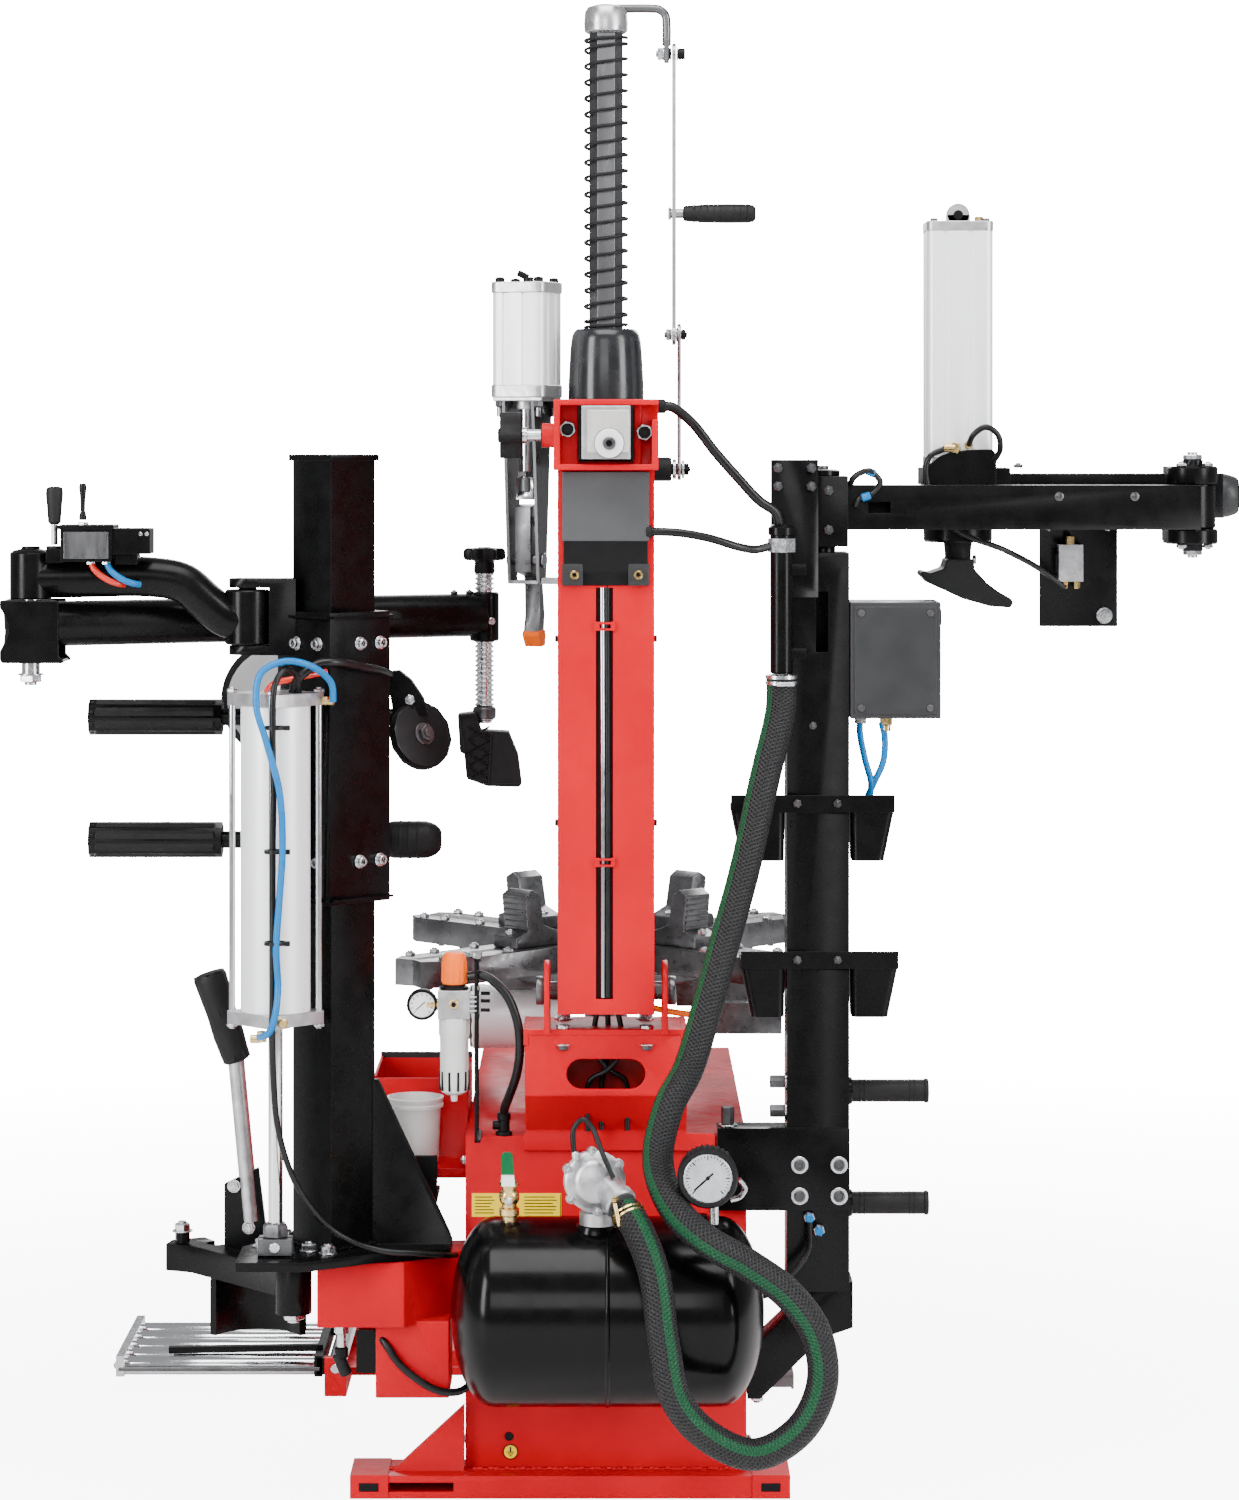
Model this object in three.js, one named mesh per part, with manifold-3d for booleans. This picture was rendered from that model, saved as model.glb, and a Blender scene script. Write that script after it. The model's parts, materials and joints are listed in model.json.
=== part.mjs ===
// A tower-type tire changer with two assist columns, as separate closed solids.
// Millimetres, +Z up. The origin is on the floor under the middle of the cabinet, +Y is the
// operator's side, -Y is the rear with the air tank, and +X is the side of the press column.
import * as THREE from "three";
import { mergeVertices } from "three/addons/utils/BufferGeometryUtils.js";
import Module from "manifold-3d";

const wasm = await Module();
wasm.setup();

// ---- driving dimensions ----
const GAP = 0.5; // between pieces that touch
const BEARING = 16; // sides of a pin and of the bore that it turns in
const ROUND = 12; // sides of a plain round piece
const SMALL = 8; // sides of a thin bar
const CABINET = { halfWidth: 185.5, halfDepth: 388, floor: 30.5, top: 468, sheet: 3 };
const FOOT_HEIGHT = 30;
const COLUMN = { halfWidth: 63, rear: -468, front: -368, bottom: 640, top: 1354, wall: 6 };
const TILT_PIVOT = { y: -420, z: 665 };
const HEAD = { halfWidth: 68, bottom: 1348, top: 1440 };
const ARM = { half: 35.5, rear: -500, z: 1397 };
const SHAFT = { y: -250, cornerRadius: 23, bottom: 1190, top: 1937 };
const BELL_TOP = 1536;
const UPPER_LINK_Z = 1909;
const LINK_ELBOW_Z = 1529;
const LOWER_LINK_Z = 1347;
const TOOL = { x: -107, y: -250, yaw: THREE.MathUtils.degToRad(-20.7), side: 79 };
const TOOL_PIVOT_Z = 1224;
const TABLE = { y: 30, bottom: 645, top: 681, armReach: 380, armWidth: 84, jawRadius: 156 };
const POST = { x: -357, y: -420, side: 76, foot: 333, top: 1362 };
const CARRIAGE = { side: 104, bore: 84, bottom: 784, top: 1163 };
const LIFT = { x: -427, y: -500, barrel: 45, bore: 41, bottom: 634, top: 1061 };
const ELBOW = { x: -747, y: -473 };
const SHOULDER = { x: -470, y: -425 };
const INNER_TUBE_Z = 1208;
const OUTER_TUBE_Z = 1148;
const PRESSER = { x: -166, y: -200 };
const DISC_PIVOT = { x: -357, y: -312 };
const BEAD_DISC = { x: -440, y: -256, radius: 80 };
const DISC_ARM_Z = 1016;
const ROLLER_ARM_Z = 852;
const JOYSTICK = { x: -714, y: -490, z: 1254 };
const TOGGLE = { x: -677, y: -492, z: 1285 };
const BREAKER = { x: -410, y: -420 };
const WHEEL_LIFT = { x: -392, z: 40, near: 160, far: 420 };
const TANK = { x: 2, y: -528, z: 268, radius: 120, halfLength: 201 };
const PRESS_COLUMN = { left: 239, right: 321, rear: -389.5, front: -307.5, bottom: 263, top: 1238 };
const PRESS_HUB = { x: 287, y: -347 };
const PRESS_ELBOW = { x: 788, y: -290 };
const PRESS = { x: 478, y: -228 };
const VALVE = { x: -124, z: 440 };
const FILTER = { x: -199, y: -420 };
const PEDAL_X = [-90, 90];
const PEDAL_PIVOT = { y: 345, z: 58 };
const SIDE_PEDAL = { x: 150, z: 62, y: 0 };

// ---- materials ----
const paint = (color, roughness = 0.35, metalness = 0.1) =>
  new THREE.MeshStandardMaterial({ color, roughness, metalness });
const RED = paint(0xd2161c);
const BLACK = paint(0x17171a);
const GREY = paint(0x4a4c50, 0.5);
const STEEL = paint(0xb4b6ba, 0.3, 0.9);
const ALUMINIUM = paint(0xd6d8da, 0.35, 0.8);
const RUBBER = paint(0x101012, 0.8, 0);
const WHITE = paint(0xe8e8e4, 0.4, 0);
const BLUE = paint(0x0a74c8, 0.4, 0);
const ORANGE = paint(0xf07a12, 0.4, 0);
const GREEN = paint(0x0c8a48, 0.4, 0);

// ---- closed shapes ----
const UP = new THREE.Vector3(0, 0, 1);

function box([x0, x1], [y0, y1], [z0, z1]) {
  const made = new THREE.BoxGeometry(x1 - x0, y1 - y0, z1 - z0);
  return made.translate((x0 + x1) / 2, (y0 + y1) / 2, (z0 + z1) / 2);
}

// A round bar between two points.
function bar(from, to, radius, endRadius = radius, sides = BEARING) {
  const a = new THREE.Vector3(...from);
  const b = new THREE.Vector3(...to);
  const along = b.clone().sub(a);
  const made = new THREE.CylinderGeometry(endRadius, radius, along.length(), sides);
  made.rotateX(Math.PI / 2);
  made.applyQuaternion(new THREE.Quaternion().setFromUnitVectors(UP, along.normalize()));
  return made.translate(...a.add(b).multiplyScalar(0.5).toArray());
}

const upright = (x, y, z0, z1, radius, sides) => bar([x, y, z0], [x, y, z1], radius, radius, sides);

// An outline of [x, y] points pushed up from z0 to z1.
function slab(points, [z0, z1]) {
  const shape = new THREE.Shape(points.map(([x, y]) => new THREE.Vector2(x, y)));
  const made = new THREE.ExtrudeGeometry(shape, { depth: z1 - z0, bevelEnabled: false });
  return made.translate(0, 0, z0);
}

// An outline of [x, z] points, as thick as y0 to y1.
const wall = (points, [y0, y1]) => slab(points, [-y1, -y0]).rotateX(Math.PI / 2);

// An outline of [y, z] points, as thick as x0 to x1.
const SIDEWAYS = new THREE.Matrix4().set(0, 0, 1, 0, 1, 0, 0, 0, 0, 1, 0, 0, 0, 0, 0, 1);
const rib = (points, [x0, x1]) => slab(points, [x0, x1]).applyMatrix4(SIDEWAYS);

// A square bar with its sides turned 45 degrees to X and Y.
const diamond = (x, y, side, z0, z1) =>
  box([-side / 2, side / 2], [-side / 2, side / 2], [z0, z1]).rotateZ(Math.PI / 4).translate(x, y, 0);

// A profile of [radius, height] points turned about the Z axis.
const turned = (profile, sides = ROUND) =>
  new THREE.LatheGeometry(profile.map(([r, z]) => new THREE.Vector2(r, z)), sides).rotateX(Math.PI / 2);

// A round section swept along a smooth curve through the points.
function swept(points, radius, steps, sides = 10) {
  const route = points.map((p) => new THREE.Vector3(...p));
  const path = new THREE.CatmullRomCurve3(route, false, "centripetal");
  const section = new THREE.Shape();
  for (let i = 0; i <= sides; i++) {
    const angle = (i * 2 * Math.PI) / sides;
    const at = [radius * Math.cos(angle), radius * Math.sin(angle)];
    if (i === 0) section.moveTo(...at);
    else section.lineTo(...at);
  }
  return new THREE.ExtrudeGeometry(section, { steps, extrudePath: path, bevelEnabled: false });
}

// ---- joining and cutting ----
function solidOf(geometry) {
  const plain = geometry.clone();
  plain.deleteAttribute("normal");
  plain.deleteAttribute("uv");
  const merged = mergeVertices(plain, 1e-3);
  const vertProperties = merged.attributes.position.array;
  const triVerts = new Uint32Array(merged.index.array);
  return new wasm.Manifold(new wasm.Mesh({ numProp: 3, vertProperties, triVerts }));
}

function geometryOf(solid) {
  const mesh = solid.getMesh();
  const made = new THREE.BufferGeometry();
  made.setAttribute("position", new THREE.BufferAttribute(mesh.vertProperties, 3));
  made.setIndex(new THREE.BufferAttribute(mesh.triVerts, 1));
  return made;
}

const join = (...pieces) => geometryOf(pieces.map(solidOf).reduce((sum, piece) => sum.add(piece)));
const cut = (piece, ...tools) =>
  geometryOf(tools.map(solidOf).reduce((rest, tool) => rest.subtract(tool), solidOf(piece)));

const machine = new THREE.Group();

function add(name, geometry, material, parent = machine) {
  geometry.computeVertexNormals();
  const mesh = new THREE.Mesh(geometry, material);
  mesh.name = name;
  parent.add(mesh);
  return mesh;
}

// ---- base and cabinet ----
function baseFrame() {
  const { halfWidth: w } = CABINET;
  const pieces = [
    box([-327, 241], [-428, -340], [0, FOOT_HEIGHT]), // rear foot bar
    box([-241, 241], [300, 396], [0, FOOT_HEIGHT]), // front foot bar
    box([-125.5, 125.5], [-40, 40], [0, 6]), // cross member on the origin
    box([-400, -w], [270, 330], [0, 12]), // bar out to the wheel lift's hinge
  ];
  for (const side of [-1, 1]) {
    const inner = Math.min(side * 125, side * w);
    pieces.push(box([inner, inner + w - 125], [-341, 301], [0, FOOT_HEIGHT]));
  }
  for (const y of [WHEEL_LIFT.near - 22, WHEEL_LIFT.far + 10]) {
    pieces.push(box([WHEEL_LIFT.x - 16, WHEEL_LIFT.x + 16], [y, y + 12], [0, 56]));
  }
  pieces.push(box([-408, -376], [WHEEL_LIFT.near - 22, WHEEL_LIFT.far + 22], [0, 8]));
  const hollows = [
    box([-320, 234], [-421, -347], [6, FOOT_HEIGHT + 1]),
    box([-234, 234], [307, 389], [6, FOOT_HEIGHT + 1]),
  ];
  const lid = [
    wall([[-283, 28], [-186.5, 28], [-186.5, 117]], [-402, -390]), // rear left gusset
    box([-327, 241], [-428, -340], [FOOT_HEIGHT - 6, FOOT_HEIGHT]),
    box([-241, 241], [300, 396], [FOOT_HEIGHT - 6, FOOT_HEIGHT]),
  ];
  const openings = [
    box([-300, -200], [-430, -419], [9, 21]), // slots in the rear bar's web
    box([-60, 60], [388, 398], [9, 21]),
  ];
  const hinge = [WHEEL_LIFT.near - 24, WHEEL_LIFT.far + 8].map((y) =>
    bar([WHEEL_LIFT.x, y, WHEEL_LIFT.z], [WHEEL_LIFT.x, y + 16, WHEEL_LIFT.z], 7.4));
  return cut(join(cut(join(...pieces), ...hollows), ...lid), ...openings, ...hinge);
}

function cabinet() {
  const { halfWidth: w, halfDepth: d, floor, top, sheet } = CABINET;
  const shell = box([-w, w], [-d, d], [floor, top]);
  const inside = box([-w + sheet, w - sheet], [-d + sheet, d - sheet], [floor - 1, top - sheet]);
  const spindleHole = upright(0, TABLE.y, top - 10, top + 10, 70, ROUND);
  const slots = PEDAL_X.map((x) => box([x - 14, x + 14], [d - 8, d + 8], [36, 90]));
  const sideSlot = box([w - 8, w + 8], [SIDE_PEDAL.y - 14, SIDE_PEDAL.y + 14], [36, 90]);
  return cut(shell, inside, spindleHole, ...slots, sideSlot);
}

// Motor, belt casing and gearbox that turn the table, hung under the cabinet's lid.
function driveUnit() {
  return join(
    box([-75, 75], [-45, 105], [250, 380]),
    upright(0, TABLE.y, 375, 436, 45, ROUND),
    upright(0, 235, 120, 300, 72, ROUND),
    box([-30, 30], [20, 245], [236, 262]),
    bar([60, TABLE.y, 315], [110, TABLE.y, 315], 18),
  );
}

function saddleBracket() {
  const outer = [[-396, 450], [-396, 478], [-448, 531], [-448, 616], [-330, 616], [-330, 470], [-338, 470],
    [-338, 608], [-440, 608], [-440, 535], [-389, 482], [-389, 450]];
  const cheek = [[-389.2, 470], [-389.2, 481], [-441, 534], [-441, 610], [-337, 610], [-337, 470]];
  const pieces = [rib(outer, [-106, 106]), box([-109, 144], [-396, -389], [450, 473])];
  for (const x of [-106, 99]) pieces.push(rib(cheek, [x, x + 7]));
  for (const x of [-81, 73]) {
    pieces.push(box([x, x + 8], [-460, -380], [612, TILT_PIVOT.z]));
    pieces.push(bar([x, TILT_PIVOT.y, TILT_PIVOT.z], [x + 8, TILT_PIVOT.y, TILT_PIVOT.z], 40, 40, ROUND));
  }
  const slot = join(
    box([-32, 32], [-452, -436], [540, 579]),
    ...[-32, 32].map((x) => bar([x, -452, 559.5], [x, -436, 559.5], 19.5)),
  );
  const bore = bar([-95, TILT_PIVOT.y, TILT_PIVOT.z], [95, TILT_PIVOT.y, TILT_PIVOT.z], 12.5);
  return cut(join(...pieces), slot, bore);
}

function tiltPin() {
  const along = (x0, x1, radius) =>
    bar([x0, TILT_PIVOT.y, TILT_PIVOT.z], [x1, TILT_PIVOT.y, TILT_PIVOT.z], radius);
  return join(along(-92, 92, 12), along(-92, -81.5, 19), along(81.5, 92, 19));
}

// ---- air supply ----
function airTank() {
  const { x, y, z, radius, halfLength } = TANK;
  const dome = 30;
  const vessel = (r, half) => {
    const shares = [[0, 0], [0.55, 0.15], [0.86, 0.5], [1, 1.3]];
    const ends = shares.map(([across, along]) => [r * across, dome * along - half]);
    const mirrored = ends.map(([rr, h]) => [rr, -h]).reverse();
    return turned([...ends, ...mirrored], 20).rotateY(Math.PI / 2).translate(x, y, z);
  };
  const feet = [-110, 110].map((at) => box([at - 15, at + 15], [-450, -389], [z - 60, z + 60]));
  const shell = cut(join(vessel(radius, halfLength), ...feet), vessel(radius - 3.5, halfLength - 4),
    upright(x, y, z - radius - 10, z - radius + 10, 8));
  const valveX = VALVE.x;
  return join(
    shell,
    upright(valveX, -540, z + radius - 6, 426, 10),
    bar([valveX, -540, 426], [valveX, -558, 426], 9),
    upright(138, -560, z + radius - 8, 458, 8, SMALL),
    bar([138, -560, 452], [138, -626, 460], 8, 8, SMALL),
    bar([128, -624, 460], [128, -648, 460], 37), // dial gauge
  );
}

function blastValve() {
  const centre = [-14, -580, 446];
  return join(
    upright(-14, -556, 389, 450, 24),
    bar([-14, -545, 446], [-14, -612, 446], 38, 34, ROUND),
    bar(centre, [14, -604, 426], 19),
  );
}

const INFLATOR_HOSE = [
  [24, -616, 414], [40, -642, 394], [60, -668, 345], [72, -680, 262], [88, -684, 190], [126, -684, 146],
  [186, -682, 122], [242, -680, 152], [270, -678, 210], [262, -676, 272], [228, -674, 320], [178, -670, 356],
  [126, -668, 386], [88, -640, 418], [66, -590, 470], [80, -560, 535], [106, -530, 580], [132, -510, 662],
  [156, -490, 745], [180, -470, 828], [208, -450, 950], [229, -426, 1035], [230, -425, 1079],
];

function outriggerBeam() {
  const outline = [[-375, -478], [-262, -478], [-186.2, -398], [-186.2, -330], [-375, -362]];
  const inset = [[-369, -472], [-265, -472], [-193, -396], [-193, -337], [-369, -367]];
  return join(
    cut(slab(outline, [235, 320]), slab(inset, [228, 314])),
    cut(box([-300, -204], [-462, -352], [140, 240]), box([-294, -210], [-456, -358], [130, 234])),
    box([-325, -299], [-445, -385], [170, 224]),
  );
}

// ---- left assist post, root side ----
function assistPost() {
  const { x, y, side, foot, top } = POST;
  const plate = [[-475, -545], [-385, -545], [-300, -490], [-203, -450], [-203, -372], [-300, -355],
    [-425, -365], [-475, -440]];
  const gusset = [[-306, foot - 1], [-203, foot - 1], [-203, 345], [-298, 549], [-306, 549]];
  const tube = join(
    diamond(x, y, side, foot - 2, top),
    diamond(x, y, side + 8, top - 2, top + 6),
  );
  const hollow = join(diamond(x, y, side - 10, foot, top - 4), upright(x, y, foot - 30, foot + 5, 20));
  return cut(
    join(tube, slab(plate, [321, foot]), wall(gusset, [-424, -416])),
    hollow,
  );
}

function liftPistonRod() {
  const { x, y, bore } = LIFT;
  return join(
    box([x - 22, x + 22], [y - 16, y + 16], [POST.foot + GAP, 357]),
    upright(x, y, 350, 780, 9),
    upright(x, y, 776, 792, bore - 1, ROUND),
  );
}

// ---- press column, root side ----
function pressColumn() {
  const { left, right, rear, front, bottom, top } = PRESS_COLUMN;
  const { x, y } = PRESS_HUB;
  const tube = cut(
    box([left, right], [rear, front], [bottom, top]),
    box([left + 5, right - 5], [rear + 5, front - 5], [bottom - 1, top - 8]),
    box([x - 10, x + 6], [rear - 1, rear + 8], [1107, 1187]), // hand window
  );
  const brace = [[270, 263], [326, 275], [326, 214], [285, 200], [204, 120], [187, 120], [187, 180],
    [250, 240]];
  const pieces = [
    tube,
    upright(x, y, top - 4, 1330, 18),
    box([147, right], [-398, rear + 0.6], [372, 480]), // rear bracket
    box([147, 238], [-398, -350], [472, 480]),
    box([187, left + 1], [-382, -318], [372, 380]),
    box([187, left + 1], [-382, -318], [440, 448]),
    wall(brace, [-382, -318]),
    box([217, 279], [-408, -400], [1180, 1361]), // upper flange
    box([left + 2, 279], [-402, rear + 1], [1182, 1230]),
  ];
  for (const z of [522, 373]) pieces.push(bar([right - 2, -348, z], [428, -348, z], 14.5, 14.5, SMALL));
  for (const z of [1100, 1210]) pieces.push(box([222, 262], [-432, rear + 1], [z, z + 14]));
  pieces.push(upright(230, -425, 1081.5, 1266, 14.5));
  return join(...pieces);
}

function controlCabinet() {
  return cut(box([322, 441], [-400, -300], [1020, 1173]), box([325, 438], [-397, -303], [1010, 1170]));
}

// A strap across the rear of the column with an open bin on each side of it.
function binRack(z, leftX, rightX) {
  const bin = ([x0, x1]) =>
    cut(box([x0, x1], [-397, -330], [z - 72, z]), box([x0 + 3, x1 - 3], [-394, -333], [z - 69, z + 1]));
  return join(
    box([leftX[0], rightX[1]], [-397, -390], [z - 8, z + 15]),
    bin(leftX),
    bin(rightX),
  );
}

function filterUnit() {
  const { x, y } = FILTER;
  return join(
    box([x - 22, x + 22], [y - 20, y + 20], [628, 668]),
    upright(x, y, 526, 630, 19.5, ROUND),
    upright(x, y, 666, 674, 12),
    box([x + 20, -164], [y - 14, y + 14], [636, 660]),
    box([-172, -164], [-440, -360], [CABINET.top + GAP, 709]),
    bar([x - 20, y, 647], [x - 34, y, 647], 8),
    bar([x - 34, y, 647], [x - 50, y, 647], 19.5, 19.5, ROUND),
  );
}

function toolTray() {
  const tray = cut(box([-313, -186.3], [-262, -80], [415, 525]), box([-310, -189], [-259, -83], [418, 526]));
  return join(tray, box([-300, -186.3], [-345, -258], [405, 418]));
}

function lubeBucket() {
  const place = (profile) => turned(profile).translate(-256, -303, 0);
  return cut(
    place([[0, 419], [31, 419], [36, 507], [0, 507]]),
    place([[0, 421.5], [28.5, 421.5], [33.5, 508], [0, 508]]),
  );
}

// ---- tilting tower ----
function towerColumn() {
  const { halfWidth: w, rear, front, bottom, top, wall: t } = COLUMN;
  const { halfWidth: h, bottom: low, top: high } = HEAD;
  const boss = bar([-h - 16, TILT_PIVOT.y, ARM.z - 4], [-h + 4, TILT_PIVOT.y, ARM.z - 4], 16);
  return cut(
    join(box([-w, w], [rear, front], [bottom, top]), box([-h, h], [rear, front], [low, high]), boss),
    box([-w + t, w - t], [rear + t, front - t], [bottom - 1, low]),
    box([-38, 38], [rear - 5, front + 5], [ARM.z - 38, ARM.z + 38]), // sleeve for the arm
    box([-13, 9], [rear - 5, rear + 10], [bottom + 20, 1195]), // rear slot
    bar([-90, TILT_PIVOT.y, TILT_PIVOT.z], [90, TILT_PIVOT.y, TILT_PIVOT.z], 12.5),
    bar([-90, TILT_PIVOT.y, ARM.z - 4], [-30, TILT_PIVOT.y, ARM.z - 4], 7.5),
  );
}

function rearCover() {
  const back = COLUMN.rear - GAP;
  const inside = box([-54, 53], [back - 10.5, back + 1], [1201, 1343]);
  return cut(box([-57, 56], [back - 13, back], [1198, 1346]), inside);
}

function lockKnob() {
  const lobes = 6;
  const outline = [];
  for (let i = 0; i < lobes * 6; i++) {
    const angle = (i * 2 * Math.PI) / (lobes * 6);
    const radius = 30 + 4 * Math.cos(lobes * angle);
    outline.push([TILT_PIVOT.y + radius * Math.cos(angle), ARM.z - 4 + radius * Math.sin(angle)]);
  }
  return join(
    rib(outline, [-139, -110]),
    bar([-115, TILT_PIVOT.y, ARM.z - 4], [-39, TILT_PIVOT.y, ARM.z - 4], 6.8),
  );
}

const HEAD_CABLES = {
  head_cable_upper: [
    [76, -448, 1431], [86, -448, 1430], [112, -448, 1410], [142, -446, 1372], [172, -442, 1338],
    [200, -438, 1308], [222, -432, 1292], [228, -427, 1274],
  ],
  head_cable_lower: [
    [56.5, -476, 1268], [72, -476, 1268], [100, -474, 1266], [136, -468, 1259], [172, -456, 1248],
    [196, -442, 1244], [214, -434, 1248],
  ],
};
const HEAD_CABLE_RADIUS = { head_cable_upper: 6.5, head_cable_lower: 5.5 };

// ---- sliding arm with the shaft clamp and its bell cover ----
function slideArm() {
  const { half: h, rear, z } = ARM;
  const { y } = SHAFT;
  const tube = cut(
    box([-h, h], [rear, y - 40], [z - h, z + h]),
    box([-h + 6, h - 6], [rear + 8, y - 60], [z - h + 6, z + h - 6]),
  );
  const bell = [[0, 1441], [50, 1441], [50, 1462], [46, 1470], [44, BELL_TOP - 12], [38, BELL_TOP],
    [0, BELL_TOP]];
  return cut(
    join(
      tube,
      box([-45, 45], [y - 48, y + 48], [1352, 1442]),
      box([-31, 31], [rear - 20, rear + 1], [z - 34, z + 34]),
      turned(bell).translate(0, y, 0),
      bar([40, y, LOWER_LINK_Z], [112, y, LOWER_LINK_Z], 8),
      box([36, 45], [y - 14, y + 14], [LOWER_LINK_Z - 12, 1356]),
      bar([60, y, LOWER_LINK_Z], [87, y, LOWER_LINK_Z], 14),
    ),
    upright(0, y, 1300, BELL_TOP + 20, SHAFT.cornerRadius + 3, ROUND),
    bar([0, rear - 30, z], [0, rear + 20, z], 12), // bore of the clamp cylinder
  );
}

function shaftSpring() {
  const ring = [[26.5, BELL_TOP + GAP], [30.5, BELL_TOP + GAP], [30.5, SHAFT.top - 4], [26.5, SHAFT.top - 4]];
  return turned([...ring, ring[0]]).translate(0, SHAFT.y, 0);
}

function hexShaft() {
  const { y, cornerRadius, bottom, top } = SHAFT;
  return join(
    upright(0, 0, bottom, top + 2, cornerRadius, 6).rotateZ(Math.PI / 6).translate(0, y, 0),
    upright(0, y, top, 1968, 30, ROUND),
    box([0, 87], [y - 6, y + 6], [1965, 1977]),
    box([77, 87], [y - 6, y + 6], [1897, 1977]),
    bar([68, y, UPPER_LINK_Z], [106, y, UPPER_LINK_Z], 5),
  );
}

function link(x0, x1, low, high, pinRadius) {
  const { y } = SHAFT;
  return cut(
    join(
      box([x0, x1], [y - 11, y + 11], [low, high]),
      ...[low, high].map((z) => bar([x0, y, z], [x1, y, z], 15)),
    ),
    ...pinRadius.map(([z, r]) => bar([x0 - 5, y, z], [x1 + 5, y, z], r)),
  );
}

function upperLink() {
  const grip = bar([105, SHAFT.y, 1693], [203, SHAFT.y, 1693], 13, 13, ROUND);
  const stem = bar([92, SHAFT.y, 1693], [108, SHAFT.y, 1693], 7, 7, SMALL);
  return join(link(89, 95, LINK_ELBOW_Z, UPPER_LINK_Z, [[UPPER_LINK_Z, 5.5]]), stem, grip);
}

function lowerLink() {
  const holes = [[LOWER_LINK_Z, 8.5], [LINK_ELBOW_Z, 6]];
  return link(96.5, 101.5, LOWER_LINK_Z, LINK_ELBOW_Z, holes);
}

function mountHead() {
  const nose = [[-62, -285], [-30, -300], [30, -300], [62, -285], [66, -245], [34, -206], [-34, -206],
    [-66, -245]];
  const groove = bar([-80, -196, 1128], [80, -196, 1128], 22);
  const collar = upright(0, SHAFT.y, 1160, SHAFT.bottom - GAP, 34, ROUND);
  return cut(join(collar, slab(nose, [1128, 1164])), groove);
}

// ---- leverless tool: built around its own vertical axis, then yawed as one group ----
function toolCylinder() {
  const h = TOOL.side / 2;
  const cheek = [[-34, 1446], [34, 1446], [24, 1340], [14, 1193], [-14, 1193], [-24, 1340]];
  const pieces = [
    box([-h + 2, h - 2], [-h + 2, h - 2], [1456, 1588]),
    box([-h, h], [-h, h], [1444, 1462]),
    box([-h, h], [-h, h], [1584, 1600]),
  ];
  for (const x of [-24, 18]) pieces.push(rib(cheek, [x, x + 6]));
  pieces.push(box([-24, 24], [-14, 14], [1192, 1197]));
  pieces.push(box([18, 72], [-9, 9], [1192, 1201]));
  const stemBore = upright(0, 0, 1440, 1575, 11);
  const pinBore = bar([-30, 0, TOOL_PIVOT_Z], [30, 0, TOOL_PIVOT_Z], 7.5);
  return cut(join(...pieces), stemBore, pinBore);
}

const toolRod = () => join(upright(0, 0, 1318, 1560, 10), box([-12, 12], [-9, 9], [1306, 1336]));

function toolLever() {
  const outline = [[-16, 1296], [4, 1300], [12, 1262], [13, 1224], [30, 1196], [38, 1150], [34, 1118],
    [26, 1108], [14, 1124], [21, 1150], [19, 1192], [16, 1202], [-14, 1208]];
  return join(
    rib(outline, [-11, 11]),
    bar([-26, 0, TOOL_PIVOT_Z], [26, 0, TOOL_PIVOT_Z], 7),
  );
}

// ---- turntable ----
function turntable() {
  const { bottom, top, armReach: reach, armWidth: width } = TABLE;
  const half = width / 2;
  const arm = [[40, -half], [reach - 24, -half], [reach, -half + 16], [reach - 10, 0], [reach, half - 16],
    [reach - 24, half], [40, half]];
  const pieces = [
    upright(0, 0, bottom - 18, bottom + 1, 150, ROUND),
    upright(0, 0, bottom, top, 125, ROUND),
    upright(0, 0, 437, bottom, 30, 16),
    upright(0, 0, top - 1, top + 10, 40, ROUND),
    bar([-191, -65, 576], [-60, -65, 576], 44, 44, ROUND), // clamp cylinder
    box([-150, -90], [-85, -35], [600, bottom - 10]),
    box([150, 248], [-45, 25], [548, 592]), // air junction
    box([100, 200], [-30, 12], [585, bottom]),
    box([40, 155], [-20, 10], [600, bottom - 10]),
  ];
  for (let i = 0; i < 4; i++) pieces.push(slab(arm, [bottom, top]).rotateZ(((2 * i + 1) * Math.PI) / 4));
  return join(...pieces);
}

function jaw() {
  const r = TABLE.jawRadius;
  const z = TABLE.top;
  const step = [[r - 42, z + GAP], [r + 42, z + GAP], [r + 42, z + 16], [r + 20, z + 24], [r + 26, z + 72],
    [r + 12, z + 80], [r - 2, z + 72], [r - 10, z + 30], [r - 42, z + 18]];
  return wall(step, [-24, 24]);
}

// ---- left carriage and its arms ----
function carriage() {
  const { x, y } = POST;
  const { side, bore, bottom, top } = CARRIAGE;
  const lug = (z0, z1) =>
    join(
      box([SHOULDER.x, -405], [y - 26, y + 14], [z0, z1]),
      upright(SHOULDER.x, SHOULDER.y, z0, z1, 24, ROUND),
    );
  const pieces = [
    diamond(x, y, side, bottom, top),
    lug(1106, 1118),
    lug(1194, 1206),
    box([-440, -405], [y - 26, y + 14], [1106, 1206]),
    diamond(x - 36, y - 36, 12, 1042, 1062),
  ];
  for (const z of [982, 1038, 818, 874]) {
    pieces.push(box([x - 18, x + 18], [y + 50, DISC_PIVOT.y], [z, z + 10]));
    pieces.push(upright(x, DISC_PIVOT.y, z, z + 10, 18, 16));
  }
  pieces.push(upright(DISC_PIVOT.x, DISC_PIVOT.y, 985, 1045, 8));
  pieces.push(upright(DISC_PIVOT.x, DISC_PIVOT.y, 822, 880, 8));
  pieces.push(upright(SHOULDER.x, SHOULDER.y, 1110, 1200, 12));
  return cut(join(...pieces), diamond(x, y, bore, bottom - 2, 1230));
}

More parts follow.
